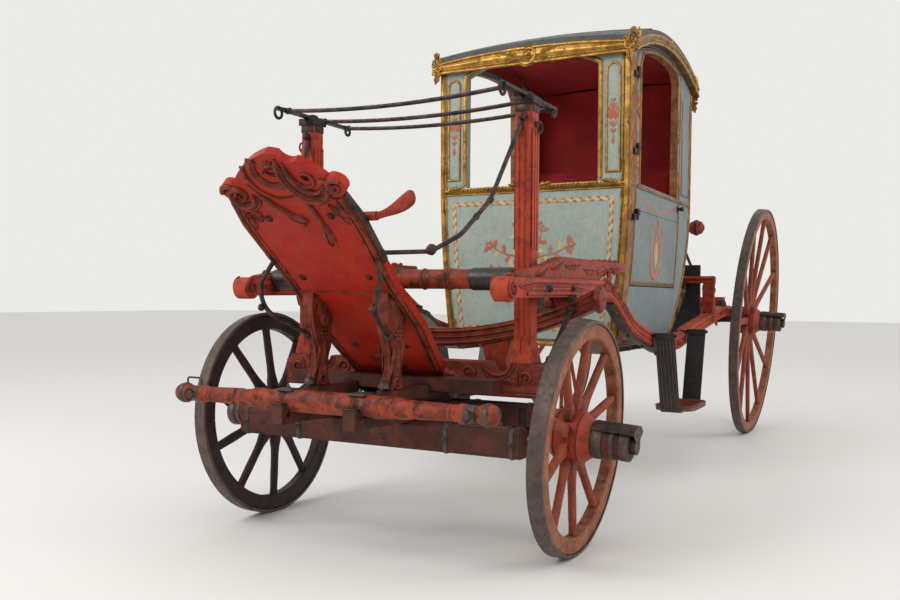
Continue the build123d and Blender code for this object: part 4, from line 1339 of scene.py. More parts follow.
    def consoles(self) -> None:
        """The carved consoles: leaves, a rosette and flutes on each face, and ball nuts at the foot."""
        form, irons = Form(), Form()
        for middle in (-170, 170):
            for side in SIDES:
                field = Carving(form, (middle + side * 25, -430, 648.1), (0, side, 0))
                field.leaves((-side * 2, 236, 90 + side * 6, 180, 34, 13, side * 0.12),
                             (side * 14, 228, 90 - side * 16, 150, 15, 9, -side * 0.2, 3),
                             (side * 6, 176, 268, 168, 20, 11, side * 0.15, 3),
                             (-side * 20, 168, 262, 120, 12, 8, -side * 0.3, 3))
                for turn in spins(6):
                    field.boss(17 * math.cos(turn), 206 + 17 * math.sin(turn), 10, 9)
                field.boss(0, 206, 9, 13)
                field.scroll(-side * 4, 22, 26, 8, 0.25, side * 1.2, 7, 9)
            front = smoothed([(-476, 655), (-450, 740), (-462, 800), (-498, 900), (-492, 1000)], 30)
            form.rib(columns(middle, *front.T), FRONT, 15, 9, GUTTER)
            irons.dome((middle, -487, 662), UP, 22, 24, 16)
            irons.bolt((middle, -395, 648), UP, 10, 14)
        form.piece("console_carving", Finishes.MAROON)
        irons.piece("console_nuts", Finishes.GREY_IRON)

    def build(self) -> None:
        """Makes the footboard's dressings."""
        self.scrolls()
        self.edges()
        self.irons()
        self.handle()
        self.consoles()


@dataclass
class FrontFrame:
    """Bolster, transom, posts, seat irons and head bar, as carved and bound with iron."""

    post_x: float = 529.5
    post_half: float = 37.5
    transom_front: float = 205
    transom_r: float = 1673.3

    def transom_line(self, x: Array) -> Array:
        """The height of the transom's middle line at x."""
        return 820 + self.transom_r - np.sqrt(self.transom_r ** 2 - np.square(x))

    def bolster(self) -> None:
        """On both faces: lips in a U round each post's foot, scrolls, a pendant and a low moulding."""
        form = Form()
        for face in SIDES:
            field = Carving(form, (0, face * 55, 0), (-face, 0, 0))
            for half in field.hands():
                for grow, wide, high in ((0, 6, 8), (17, 4, 5)):
                    lip = arc_through((372 - grow, 734), (432, 688 - grow), (492 + grow, 734), 24)
                    half.line(lip, wide, high)
                half.scroll(300, 690, 34, 8, 0, 1.3, 8, 9)
                half.scroll(560, 680, 30, 8, 0.5, -1.3, 8, 9)
                half.leaves((272, 664, 160, 130, 22, 9, 0.3), (530, 724, 270, 78, 15, 13, 0, 2),
                            (420, 668, 178, 90, 13, 8, 0.5, 3), (444, 668, 2, 90, 13, 8, -0.5, 3),
                            (16, 668, 0, 116, 20, 9, 0.3))
            field.boss(0, 668, 20, 10)
            field.line([(-612, 614), (612, 614)], 7, 6)
            field.line([(-612, 628), (612, 628)], 3, 3)
        form.piece("bolster_carving", Finishes.MAROON)

    def transom(self) -> None:
        """Mouldings along both faces, corbels beside the perches, the iron strap and its nuts."""
        form, irons = Form(), Form()
        x = np.linspace(-735, 735, 70)
        for face, y in zip(SIDES, (self.transom_front, self.transom_front + 90)):
            field = Carving(form, (0, y, 0), (-face, 0, 0))
            for lift, wide in ((26, 7), (-26, 7), (0, 4)):
                field.line(columns(x, self.transom_line(x) + lift), wide, 6)
        for side in SIDES:
            for y in (self.transom_front + 8, self.transom_front + 82):
                form.dome((side * 556, y, 985), (-side, 0, -0.6), 30, 36, 18)
            form.lathe([(0, 50), (3, 52), (8, 44), (12, 30), (12, 12)], (side * 762, 250, 995),
                       (side, 0, 0), 8)
            irons.dome((side * 772, 250, 995), (side, 0, 0), 9, 7, 12)
            for place in (470, 640):
                low = float(self.transom_line(place))
                irons.slab((side * place - 20, 201, low + 36), (side * place + 20, 299, low + 52), 3)
                for y in (225, 275):
                    irons.bolt((side * place, y, low + 50), UP, 8, 9)
            for z, y in ((720, 70), (748, 120)):
                irons.dome((side * (576 + (z - 698) * 0.3), y - 12, z), FRONT, 17, 13, 12)
            irons.bolt((side * 650, 193, float(self.transom_line(650))), FRONT, 12, 14)
        form.piece("transom_mouldings", Finishes.MAROON)
        irons.piece("transom_irons", Finishes.IRON)

    def posts(self) -> None:
        """Fillets beside two grooves down each face, leaves at the foot, straps and a ring bolt on top."""
        form, irons = Form(), Form()
        turn = spins(24)
        for side in SIDES:
            centre = side * self.post_x
            for face in (FRONT, REAR, LEFT, RIGHT):
                origin = (centre, 0, 0) + self.post_half * np.array(face)
                across = tuple(np.cross(UP, face))
                field = Carving(form, origin, across)
                free = face in (FRONT, REAR)
                for offset in (-24, 0, 24):
                    field.line([(offset, 842 if free else 1190), (offset, 1668)], 9, 2.2, STRIP)
                if free:
                    field.leaves((0, 748, 90, 90, 22, 9, 0, 3), (0, 1716, 270, 46, 16, 5, 0, 2))
                Carving(irons, origin, across).line([(-30, 1752), (30, 1752)], 14, 3, STRIP)
            irons.dome((centre, 0, 1811), UP, 26, 12, 20)
            irons.bolt((centre, -44, 1785), FRONT, 11, 9)
            irons.bolt((centre + side * 40, 0, 1690), (side, 0, 0), 9, 8)
            irons.tube(columns(centre + side * 55, 22 * np.sin(turn), 1676 + 22 * np.cos(turn)), 4,
                       closed=True, reference=RIGHT)
            for z in (800, 1590):
                irons.slab((centre - 8, -self.post_half - 2, z), (centre + 8, -self.post_half + 2, z + 34))
        form.piece("post_mouldings", Finishes.VERMILION)
        irons.piece("post_irons", Finishes.IRON)

    def seat_loops(self) -> None:
        """Eyes forged on the ends of the seat irons, and nuts where the rods pass the bars."""
        form = Form()
        turn = spins(28)
        for side in SIDES:
            for y, radius in ((-242, 24), (282, 18)):
                hook = columns(side * 531, y + radius * np.cos(turn), 1806 + radius * (np.sin(turn) - 0.75))
                form.tube(hook, 6.5, closed=True, reference=RIGHT)
            for y in (-200, 60, 250):
                form.lathe([(-12, 12), (-10, 14), (10, 14), (12, 12)], (side * 508, y, 1801), RIGHT, 16)
                form.dome((side * 529.5, y, 1811), UP, 12, 7, 12)
        form.piece("seat_iron_eyes", Finishes.IRON)

    def head_bar(self) -> None:
        """Turned rings on the bar, wrapped sleeves, and the tongues with nuts at its ends."""
        rings, sleeves, irons = Form(), Form(), Form()
        for x in (-300, -285, -180, -60, -45, 45, 60, 180, 285, 300):
            rings.lathe([(-6, 36), (-5, 41), (0, 43.5), (5, 41), (6, 36)], (x, -200, 1070), RIGHT, 40,
                        ring=True)
        x = np.linspace(395, 562, 60)
        wraps = 43.6 + 0.9 * np.abs(np.sin(np.pi * (x - 395) / 27.8)) ** 0.4
        for side in SIDES:
            sleeves.lathe([(395, 38), *columns(x, wraps), (562, 38)], (0, -200, 1070), (side, 0, 0), 40,
                          ring=True)
            rings.slab((side * 586 - 20, -286, 1058), (side * 586 + 20, -220, 1092), 7)
            irons.bolt((side * 585, -262, 1091), UP, 10, 11)
            irons.bolt((side * 585, -262, 1059), DOWN, 10, 9)
        rings.piece("head_bar_rings", Finishes.TURNED_RED)
        sleeves.piece("head_bar_wrapping", Finishes.BLACK_LEATHER)
        irons.piece("head_bar_nuts", Finishes.IRON)

    def strut_bosses(self) -> None:
        """Swellings with nuts along the iron struts and stays."""
        form = Form()
        for side in SIDES:
            for x, y, z, radius in ((460, -190, 1375, 14), (350, -455, 1172, 20), (529.5, -45, 1716, 16),
                                    (246, -686, 955, 13), (186, -480, 850, 18), (440, -270, 1305, 13)):
                form.lathe(radius * np.array([(-1, 0.4), (-0.7, 0.85), (0, 1), (0.7, 0.85), (1, 0.4)]),
                           (side * x, y, z), (side * 0.3, 0.5, 0.8), 16)
            form.bolt((side * 350, -472, 1168), FRONT, 10, 13)
        form.piece("strut_bosses", Finishes.IRON)

    def build(self) -> None:
        """Makes the frame's dressings."""
        self.bolster()
        self.transom()
        self.posts()
        self.seat_loops()
        self.head_bar()
        self.strut_bosses()


@dataclass
class Perches:
    """Crane-neck perches: a scroll at the nose, fluted sides, shellwork over the bend, plates and nuts."""

    perch_x: float = 600
    half_width: float = 33
    horn_half: float = 22

    def path(self) -> Array:
        """The perch's middle line as (y, z), its bends rounded, at even steps.

        Returns:
            points (n, 2).
        """
        corners = [(-360, 1036), (790, 1046), (1170, 850), (1720, 733), (2130, 738), (2400, 790),
                   (3400, 908.6), (3820, 908.6)]
        return resampled(filleted(corners, [400] + [900] * 5), 130)

    def beside(self, path: Array, offset: float) -> Array:
        """The line beside a path in its plane: offset along the path's normal."""
        along = unit(np.gradient(path, axis=0))
        return path + offset * columns(-along[:, 1], along[:, 0])

    def faces(self, form: Form, half_width: float) -> list[Carving]:
        """A beam's inner and outer face, with places as (y, z) on both."""
        return [Carving(form, (self.perch_x + out * half_width, 0, 0), (0, out, 0), hand=out)
                for out in SIDES]

    def sides(self) -> None:
        """Fluted mouldings on both faces and a rib along the top, ahead of the bend left plain."""
        form = Form()
        path = self.path()[4:-1]
        for face in self.faces(form, self.half_width):
            face.line(path, 9, 4, GUTTER)
            for offset in (24, -24):
                face.line(self.beside(path, offset), 8, 6)
        late = path[:, 0] > 1080
        top = columns(self.perch_x, *self.beside(path, 36).T)
        normal = columns(0, *(self.beside(path, 1) - path).T)
        form.rib(top[late], normal[late], 14, 8, OGEE)
        form.mirror().piece("perch_mouldings", Finishes.VERMILION)

    def carving(self) -> None:
        """Nose scrolls, leaves along the horn, shellwork over the bend and a boss between the steps."""
        form = Form()
        for face in self.faces(form, self.half_width):
            face.scroll(-360, 1030, 43, 10, 0.25, 1.7, 9, 9)
            face.leaves((-300, 1040, 6, 200, 24, 8), (230, 1044, -2, 190, 20, 8),
                        (640, 1050, 8, 150, 20, 12, -0.5),
                        (700, 1060, 46, 96, 20, 12, -0.6), (760, 1052, -18, 170, 20, 12, -0.3),
                        (930, 985, -20, 150, 20, 12, -0.3), (1010, 950, -36, 150, 20, 12, 0.2),
                        (820, 1040, 30, 90, 20, 12, 0.5), (2060, 736, 2, 90, 26, 14, 0, 3),
                        (2200, 748, 170, 90, 26, 14, 0, 3))
            for y, z, radius in ((690, 1072, 26), (742, 1064, 22), (800, 1052, 25), (868, 1020, 22),
                                 (905, 1000, 18)):
                face.scroll(y, z, radius, 6, 0.25 + 0.25 * face.hand, 1.2, 6, 12)
            face.boss(2128, 738, 24, 16)
        for face in self.faces(form, self.horn_half):
            for y, z, angle, length, wide in ((-120, 1086, 14, 150, 18), (40, 1116, 14, 150, 20),
                                              (200, 1134, 0, 190, 22), (420, 1126, -4, 180, 22),
                                              (600, 1112, 8, 170, 24), (790, 1140, 2, 150, 18)):
                face.leaf(y, z, angle, length, wide, 10, 0.12)
            face.tapered([(860, 1120), (930, 1132), (1020, 1136)], 8, 8, 24)
            for y, z in ((700, 1120), (762, 1106), (842, 1128)):
                face.scroll(y, z, 24, 7, 0.25 - 0.15 * face.hand, 1.3, 6, 12)
        for y, z, lean in ((640, 1166, 0.5), (720, 1168, 0.3), (800, 1168, -0.2), (880, 1170, -0.5)):
            for side in SIDES:
                form.leaf((self.perch_x, y, z), (side * 0.9, lean, 0.05), UP, 30, 13, 12, side * 0.6, 3, 4)
        form.mirror().piece("perch_carving", Finishes.CARVED)

    def irons(self) -> None:
        """The plate on the nose, nuts along the top, the strap under the bend and clips at the steps."""
        form = Form()
        path = self.path()
        bend = path[(path[:, 0] > 830) & (path[:, 0] < 2040)]
        under = columns(self.perch_x, *self.beside(bend, -38).T)
        normal = columns(0, *(bend - self.beside(bend, 1)).T)
        form.rib(under, normal, 27, 9, STRIP)
        for number in range(3, len(bend) - 2, 8):
            form.bolt(under[number] + 8 * normal[number], normal[number], 9, 9)
        form.bolt((self.perch_x + self.half_width, -12, 1036), RIGHT, 13, 11)
        form.bolt((self.perch_x + self.half_width, 250, 1040), RIGHT, 10, 9)
        form.slab((self.perch_x + 31, -52, 1010), (self.perch_x + 37, 26, 1062), 2)
        for y in (1500, 2258):
            middle = float(np.interp(y, path[:, 0], path[:, 1]))
            form.slab((self.perch_x - 36, y - 22, middle - 43), (self.perch_x + 36, y + 22, middle + 43), 6)
        form.mirror().piece("perch_irons", Finishes.IRON)

    def build(self) -> None:
        """Makes the perches' dressings."""
        self.sides()
        self.carving()
        self.irons()


@dataclass
class Coach:
    """The closed body: gilt carving, painted ornament and door frames."""

    front_y: float = 1280
    bottom_z: float = 735
    belt_z: float = 1600
    arch: tuple = (2005.1, 651.7, 1878.8)
    cornice_half: float = 605
    cornice_y: tuple = (1245, 2675)
    door_y: tuple = (1400, 2360)
    door_bottom: float = 1072
    windings: int = 64

    def half_width(self, z: Array) -> Array:
        """Half the body's width: an arc up to the belt and then a straight taper."""
        x, up = arc_through((490, 735), (537, 1150), (560, 1600), 60).T
        return np.where(np.less(z, self.belt_z), np.interp(z, up, x), 560 + (z - self.belt_z) / 110)

    def rear(self, z: Array) -> Array:
        """Where the back is: an arc up to the belt and then upright."""
        y, up = arc_through((2350, 735), (2550, 1080), (2640, 1600), 60).T
        return np.interp(z, up, y)

    def arch_z(self, y: Array, drop: float) -> Array:
        """The height over y of the roof's arch less a drop."""
        middle, centre, radius = self.arch
        return centre + np.sqrt((radius - drop) ** 2 - np.square(y - middle))

    def front_field(self, form: Form) -> Carving:
        """The front wall, with (0, 0) at the middle of the ground line."""
        return Carving(form, (0, self.front_y, 0))

    def side_field(self, form: Form, proud: float = 0) -> Carving:
        """The right side: its points move out to the swelling wall, and stand proud of it by so much."""
        return Carving(form, (0, 0, 0), REAR, UP,
                       lambda p: columns(self.half_width(p[..., 2]) + proud, p[..., 1], p[..., 2]))

    def back_field(self, form: Form) -> Carving:
        """The back: its points follow its curve, and across runs to the carriage's left."""
        return Carving(form, (0, 0, 0), LEFT, UP,
                       lambda p: columns(p[..., 0], self.rear(p[..., 2]), p[..., 2]))

    def cornice(self) -> None:
        """Mouldings round the cornice, a shell over the middle of each end and leaves at the corners.

        The front's top edge is the roof's arch, whose radius grows by 35 towards the middle.
        """
        form = Form()
        middle, centre, radius = self.arch
        x = np.linspace(-598, 598, 60)
        grown = radius - 25 + 35 * (1 - (x / self.cornice_half) ** 2)
        top = centre + np.sqrt(grown ** 2 - (self.cornice_y[0] - middle) ** 2)
        for end, out in zip(self.cornice_y, (1, -1)):
            field = Carving(form, (0, end, 0), (out, 0, 0))
            field.line(columns(x, top - 9), 9, 9, OGEE)
            field.line(columns(x, 2290), 8, 9)
            field.line(columns(x, 2306), 3, 5)
            field.line(columns(x, (top + 2291) / 2), (top - 2331) / 2 + 3, 8, OGEE)
            field.scroll(0, 2336, 60, 13, 0.62, 1.5, 15, 14, OGEE)
            field.leaves(*((0, 2350, angle, 52, 13, 10, 0, 2) for angle in (30, 60, 90, 120, 150)))
            for half in field.hands():
                half.leaves((40, 2332, 6, 150, 20, 12, 0.35), (50, 2318, -10, 110, 14, 10, -0.4, 3))
                for angle, length in ((70, 58), (28, 44), (120, 52), (270, 100)):
                    half.leaf(568, 2326, angle, length, 21, 13, 0.3, 3, 6)
                half.scroll(566, 2318, 27, 8, 0.25, 1.3, 8, 12)
        side = Form()
        field = Carving(side, (self.cornice_half, 0, 0), REAR)
        y = np.linspace(self.cornice_y[0] + 6, self.cornice_y[1] - 6, 90)
        for drop, wide, high, shape in ((33, 9, 9, OGEE), (72, 8, 8, BEAD), (58, 3, 4, BEAD)):
            field.line(columns(y, self.arch_z(y, drop)), wide, high, shape)
        for place, angle in ((1300, 90), (2620, 110)):
            field.leaf(place, self.arch_z(place, 52), angle, 84, 20, 12, 0.2, 3)
        middle = self.arch_z(1960, 50)
        for angle, length in ((0, 90), (180, 90), (40, 44), (140, 44), (90, 44)):
            field.leaf(1960, middle, angle, length, 15, 10, 0, 3)
        field.boss(1960, middle, 14, 14)
        form.copies(side.mirror(), [(0, 0, 0)]).piece("cornice_carving", Finishes.GILT)

    def finials(self) -> None:
        """A leafy bud over each corner of the roof: a turned foot with eight leaves folded round it."""
        form = Form()
        for x in (-585, 585):
            for y in (1262, 2655):
                base = self.arch_z(y, 0) - 4
                form.lathe([(0, 17), (4, 19), (7, 12), (10, 10), (16, 15), (25, 17), (35, 11), (42, 5),
                            (46, 2)],
                           (x, y, base), UP, 20)
                for out in columns(np.cos(spins(8)), np.sin(spins(8)), 0.25):
                    form.leaf((x + 11 * out[0], y + 11 * out[1], base + 8), UP, out, 30, 9, 5, 0, 2, 6)
        form.piece("corner_finials", Finishes.GILT)

    def front_gilding(self) -> None:
        """Corner posts, belt rail, bottom rail, window bead and the beads of the narrow panels."""
        form = Form()
        field = self.front_field(form)
        z = np.linspace(self.bottom_z + 8, 2296, 60)
        edge = self.half_width(z) - 15
        cap = arc_through((438, 2205), (474, 2246), (510, 2205), 14)
        panel = np.concatenate([[(438, 1672), (438, 2190)], cap, [(510, 2190), (510, 1672)]])
        for half in field.hands():
            half.line(columns(edge, z), 14, 11, OGEE)
            half.line(columns(edge - 21, z), 5, 6)
            half.line(panel, 6.5, 7, closed=True)
            half.leaves((520, 1608, 175, 110, 19, 12, -0.2), (534, 1640, 90, 110, 14, 11, 0.1, 3),
                        (528, 1590, 270, 120, 14, 11, 0.1, 3), (14, 1608, 6, 120, 20, 13, 0.2),
                        (470, 762, 160, 84, 14, 9, 0, 3), (470, 792, 100, 84, 14, 9, 0, 3))
            half.scroll(532, 1608, 22, 7, 0.25, 1.2, 7, 13)
        head = arc_through((-404, 2258), (0, 2364), (404, 2258), 30)
        field.line(np.concatenate([[(-404, 1640)], head, [(404, 1640)]]), 12, 11, OGEE)
        field.line([(-540, 1608), (540, 1608)], 15, 12, OGEE)
        field.line([(-540, 1586), (540, 1586)], 5, 7)
        notch = Form().leaf((0, 0, 0), (0.75, 0, 0.66), FRONT, 30, 6, 6, 0, 1)
        form.copies(notch, columns(np.arange(-508, 500, 22), 1268, 1599))
        field.boss(0, 1608, 17, 17)
        field.line([(-486, 748), (486, 748)], 12, 9, OGEE)
        form.piece("front_gilding", Finishes.GILT)

    def twisted_ribbon(self, name: str, field: Callable, z: Array, inset: float) -> None:
        """Two strips wound about each other round a wall: each strays by a sine, swells and thins in turn.

        Args:
            name: the start of its pieces' names.
            field: makes the wall's field.
            z: heights up its two sides.
            inset: how far they run inside the wall's edges.
        """
        inner = self.half_width(z) - inset
        loop = np.concatenate([columns(inner, z), columns(-inner, z)[::-1], columns(inner, z)[:1]])
        count = self.windings * 16
        path = resampled(loop, count + 1)[:-1]
        along = unit(np.roll(path, -1, 0) - np.roll(path, 1, 0))
        normal = columns(-along[:, 1], along[:, 0])
        phase = FULL_TURN * self.windings * np.arange(count) / count
        for label, finish, shift, high in (("orange", Finishes.ORANGE, 0.0, 0.9),
                                           ("cream", Finishes.CREAM, math.pi / 2, 1.4)):
            form = Form()
            strayed = path + normal * (5 * np.sin(phase + 2 * shift))[:, None]
            swell = np.abs(np.sin(phase / 2 + shift)) ** 0.7
            field(form).line(strayed, 1 + 9 * swell, high, STRIP, closed=True)
            form.piece(f"{name}_{label}_ribbon", finish)

    def front_painting(self) -> None:
        """A spray of flowers with leaves on the front panel, and strings down the narrow panels."""
        orange, cream = Form(), Form()
        field, pale = self.front_field(orange), self.front_field(cream)
        stems = (((0, 1180), (60, 1230), (150, 1240), (240, 1290)),
                 ((0, 1180), (90, 1170), (180, 1130), (250, 1140)),
                 ((0, 1180), (40, 1110), (120, 1060), (150, 1010)),
                 ((0, 1180), (30, 1260), (70, 1330), (60, 1390)))
        for half, pale_half in zip(field.hands(), pale.hands()):
            for stem in stems:
                half.tapered(stem, 5, 1.2, 40, STRIP)
                path = smoothed(stem, 9)
                for number in range(2, 9):
                    swing = half.hand * (-1) ** number
                    angle = math.degrees(math.atan2(*(path[number] - path[number - 1])[::-1])) + 62 * swing
                    target = half if number % 3 else pale_half
                    target.leaf(*path[number], angle, 54, 14, 1.6, 0.5 * swing, 2)
            for x, up in ((244, 1292), (252, 1140), (152, 1006), (60, 1394)):
                field.leaves(*((half.hand * x, up, angle, 30, 12, 2, 0, 1) for angle in range(0, 360, 72)))
                pale_half.boss(x, up, 6, 2.5)
            half.tapered([(474, 1850), (470, 1950), (476, 2060)], 3, 1.2, 16, STRIP)
            for up, reach in ((1876, 26), (1908, 36), (1944, 52), (1978, 46), (2010, 32), (2040, 22)):
                for angle, bend in ((48, 0.3), (132, -0.3)):
                    half.leaf(474, up, angle, reach, reach * 0.26, 1.6, bend, 2)
            half.leaves((474, 1944, 90, 60, 15, 2, 0, 2), (474, 1862, 270, 52, 10, 1.8, 0, 2))
            pale_half.boss(474, 1944, 7, 2.6)
        field.leaves(*((0, 1180, angle, 54, 17, 2.2, 0.2, 2) for angle in range(20, 380, 45)))
        pale.boss(0, 1180, 14, 3.5)
        orange.piece("front_painted_sprays", Finishes.ORANGE)
        cream.piece("front_painted_flowers", Finishes.CREAM)

    def pillar_gilding(self) -> None:
        """Worn gilt down the front pillar and the rear corner, along the belt and the bottom rail."""
        form = Form()
        field = self.side_field(form)
        z = np.linspace(self.bottom_z + 8, 2290, 50)
        field.line(columns(self.front_y + 15, z), 13, 7, OGEE)
        z = np.linspace(self.bottom_z + 8, 2330, 60)
        field.line(columns(self.rear(z) - 15, z), 13, 8, OGEE)
        field.line(columns(self.rear(z) - 36, z), 4, 5)
        for low, high in ((1300, 1386), (2374, 2618)):
            field.line([(low, self.belt_z + 6), (high, self.belt_z + 6)], 11, 7, OGEE)
        field.line([(1300, 748), (2336, 748)], 10, 7, OGEE)
        for line in ([(1376, 1640), (1376, 2270)], [(2400, 1660), (2400, 2250)], [(2590, 1660), (2590, 2250)],
                     [(2400, 1660), (2590, 1660)]):
            field.line(line, 5, 5)
        for up, angle in ((2200, 270), (1700, 90), (1540, 270), (900, 90)):
            field.leaf(1316, up, angle, 130, 15, 8, 0.1)
        for up, angle in ((1560, 270), (1650, 90), (2160, 90)):
            field.leaf(2606, up, angle, 110, 15, 8, 0, 3)
        form.mirror().piece("pillar_gilding", Finishes.WORN_GILT)

    def window(self, sides: tuple, low: float, drop: float, corner: float, shift: float = 0.0) -> Array:
        """A window's outline as (y, z): up one side, along under the roof's arch and down the other side.

        Args:
            sides: where its two sides are.
            low: how far down they go.
            drop: how far its top is under the arch.
            corner: how far the top's ends are cut back.
            shift: how much wider and lower the top is than its sides' ends.
        Returns:
            the points.
        """
        top = np.linspace(sides[0] + corner - shift, sides[1] - corner + shift, 30)
        up, down = (resampled([(y, low), (y, self.arch_z(y, drop) - corner)], 14) for y in sides)
        return np.concatenate([up, columns(top, self.arch_z(top, drop + shift)), down[::-1]])

    def door_frames(self) -> None:
        """On each door: a worn frame round its edge and its window, the belt and a handle."""
        low, high = self.door_y[0] + 14, self.door_y[1] - 14
        foot = self.door_bottom + 14
        top = np.linspace(low, high, 40)
        arch = columns(top, self.arch_z(top, 108))
        edge = np.concatenate([resampled([(low, foot), arch[0]], 20), arch[1:],
                               resampled([arch[-1], (high, foot)], 20)])
        glass = self.window((1473, 2287), 1616, 112, 56)
        for side in ("right", "left"):
            form, handle = Form(), Form()
            field = self.side_field(form)
            field.line(edge, 10, 5, OGEE, closed=True)
            field.line(glass, 11, 7, OGEE)
            field.line([(1430, 1606), (2330, 1606)], 12, 7, OGEE)
            field.leaves((1452, 1608, 2, 120, 12, 8, 0, 3), (2308, 1608, 178, 120, 12, 8, 0, 3),
                         *((y, up, angle, 150, 11, 6)
                           for y in (1444, 2318) for up, angle in ((1660, 90), (2120, 270))))
            handle.lathe([(0, 22), (4, 22), (6, 12), (16, 9), (24, 13), (32, 17), (38, 13), (42, 5)],
                         field.at((2322, 1560)), RIGHT, 20)
            form.placed(side).piece(f"door_frame_{side}", Finishes.WORN_GILT, f"door_{side}")
            handle.placed(side).piece(f"door_handle_{side}", Finishes.IRON, f"door_{side}")

    def reveals(self) -> None:
        """Worn paint on the stile ahead of each door, and linings as deep as the wall in the windows."""
        glass = self.window((1486.5, 2273.5), 1626, 123, 62, 0.5)
        face, deep = (columns(self.half_width(glass[:, 1]) - back, *glass.T) for back in (-1.5, 40.5))
        inward = columns(0, *(unit(glass.mean(axis=0) - glass) * 1.5).T)
        for side in ("right", "left"):
            form = Form().grid(np.stack([face, deep, deep + inward, face + inward], 1))
            form.placed(side).piece(f"door_reveal_{side}", Finishes.STILE, f"door_{side}")
        z, y = np.meshgrid(np.linspace(745, 2290, 60), np.linspace(1304, 1394, 4), indexing="ij")
        form = Form().sheet(columns(self.half_width(z) + 1.6, y, z), RIGHT, 2.4)
        form.mirror().piece("pillar_stiles", Finishes.STILE)

    def wreath(self, field: Carving, pale: Carving) -> None:
        """A tall U-shaped wreath round a flame: each tongue sways as a sine and narrows to its tip.

        Args:
            field: takes the orange strips and leaves.
            pale: takes the flame's pale hearts.
        """
        path = smoothed([(1776, 1452), (1770, 1330), (1786, 1190), (1880, 1112), (1974, 1190), (1990, 1330),
                         (1984, 1452)], 70)
        field.line(path, 11 + 11 * np.sin(np.pi * np.linspace(0, 1, 70)), 1.4, STRIP)
        for number in range(3, 68, 5):
            field.leaf(*path[number], 90 + 55 * (-1) ** number, 44, 12, 1.5, 0.4, 2)
        share = np.linspace(0, 1, 26)
        flame = np.sin(np.pi * np.clip(share * 0.94 + 0.05, 0, 1)) ** 0.8 * (1.15 - 0.7 * share)
        for start, end, sway, wide in ((1170, 1440, 0, 30), (1176, 1370, -34, 17), (1176, 1370, 34, 17),
                                       (1300, 1460, -22, 9), (1300, 1460, 22, 9)):
            tongue = columns(1880 + sway * np.sin(np.pi * share * 0.7) + 6 * np.sin(9 * share),
                             start + (end - start) * share)
            field.line(tongue, wide * flame, 1.3, STRIP)
            if wide > 10:
                pale.line(tongue[:15], 0.42 * wide * flame[:15], 1.9, STRIP)

    def door_painting(self) -> None:
        """On each door: a garland with a drop, a wreath round a flame, a band of leaves and a dark seam."""
        for side in ("right", "left"):
            orange, cream, seam = Form(), Form(), Form()
            field, pale, dark = (self.side_field(form, -0.3) for form in (orange, cream, seam))
            for number, (y, z) in enumerate(arc_through((1540, 1545), (1880, 1500), (2220, 1545), 22)):
                field.leaf(y, z, 20 + 140 * (number % 2), 44, 11, 1.6, 0, 2)
            for length, angle in ((56, 270), (34, 240), (34, 300)):
                field.leaf(1880, 1496, angle, length, 10, 2, 0, 2)
            self.wreath(field, pale)
            for y, z in ((1836, 1150), (1924, 1150), (1880, 1142)):
                field.leaf(y, z, 90, 40, 16, 1.4, 0, 2)
            for number, y in enumerate(range(1620, 2150, 34)):
                field.leaf(y, 1118 if abs(y - 1880) > 100 else 1092, 35 + 110 * (number % 2), 46, 12, 1.5,
                           0, 2)
            for y in (1560, 2200):
                for z in (1400, 1330, 1260, 1190):
                    field.leaves((y, z, 60, 34, 8, 1.4, 0.3, 2), (y, z, 120, 34, 8, 1.4, -0.3, 2))
            dark.line([(1412, 1478), (2348, 1478)], 1.6, 0.8, STRIP)
            for name, form, finish in (("wreath", orange, Finishes.ORANGE), ("flame", cream, Finishes.CREAM),
                                       ("seam", seam, Finishes.BARE_WOOD)):
                form.placed(side).piece(f"door_{name}_{side}", finish, f"door_{side}", slot="pale_panel")

    def back_gilding(self) -> None:
        """Gilt corners, belt, bottom rail and two beaded frames on the back."""
        form = Form()
        field = self.back_field(form)
        z = np.linspace(self.bottom_z + 10, 2330, 70)
        edge = self.half_width(z) - 15
        for half in field.hands():
            half.line(columns(edge, z), 13, 6, OGEE)
            half.line(columns(edge - 22, z), 4, 5)
            half.leaf(18, 1606, 6, 130, 18, 7, 0.2)
            half.line([(60, 1690), (60, 2200), (500, 2200), (500, 1690)], 6, 6, closed=True)
        x = np.linspace(-545, 545, 30)
        field.line(columns(x, 1606), 13, 7, OGEE)
        field.line(columns(x * 0.88, 752), 11, 7, OGEE)
        field.boss(0, 1606, 16, 9)
        form.piece("back_gilding", Finishes.WORN_GILT)

    def build(self) -> None:
        """Makes the coach's gilding and painting."""
        self.cornice()
        self.finials()
        self.front_gilding()
        self.twisted_ribbon("front_field", self.front_field, np.linspace(830, 1530, 14), 88)
        self.front_painting()
        self.pillar_gilding()
        self.door_frames()
        self.reveals()
        self.door_painting()
        self.back_gilding()
        self.twisted_ribbon("back_field", self.back_field, np.linspace(840, 1530, 20), 90)


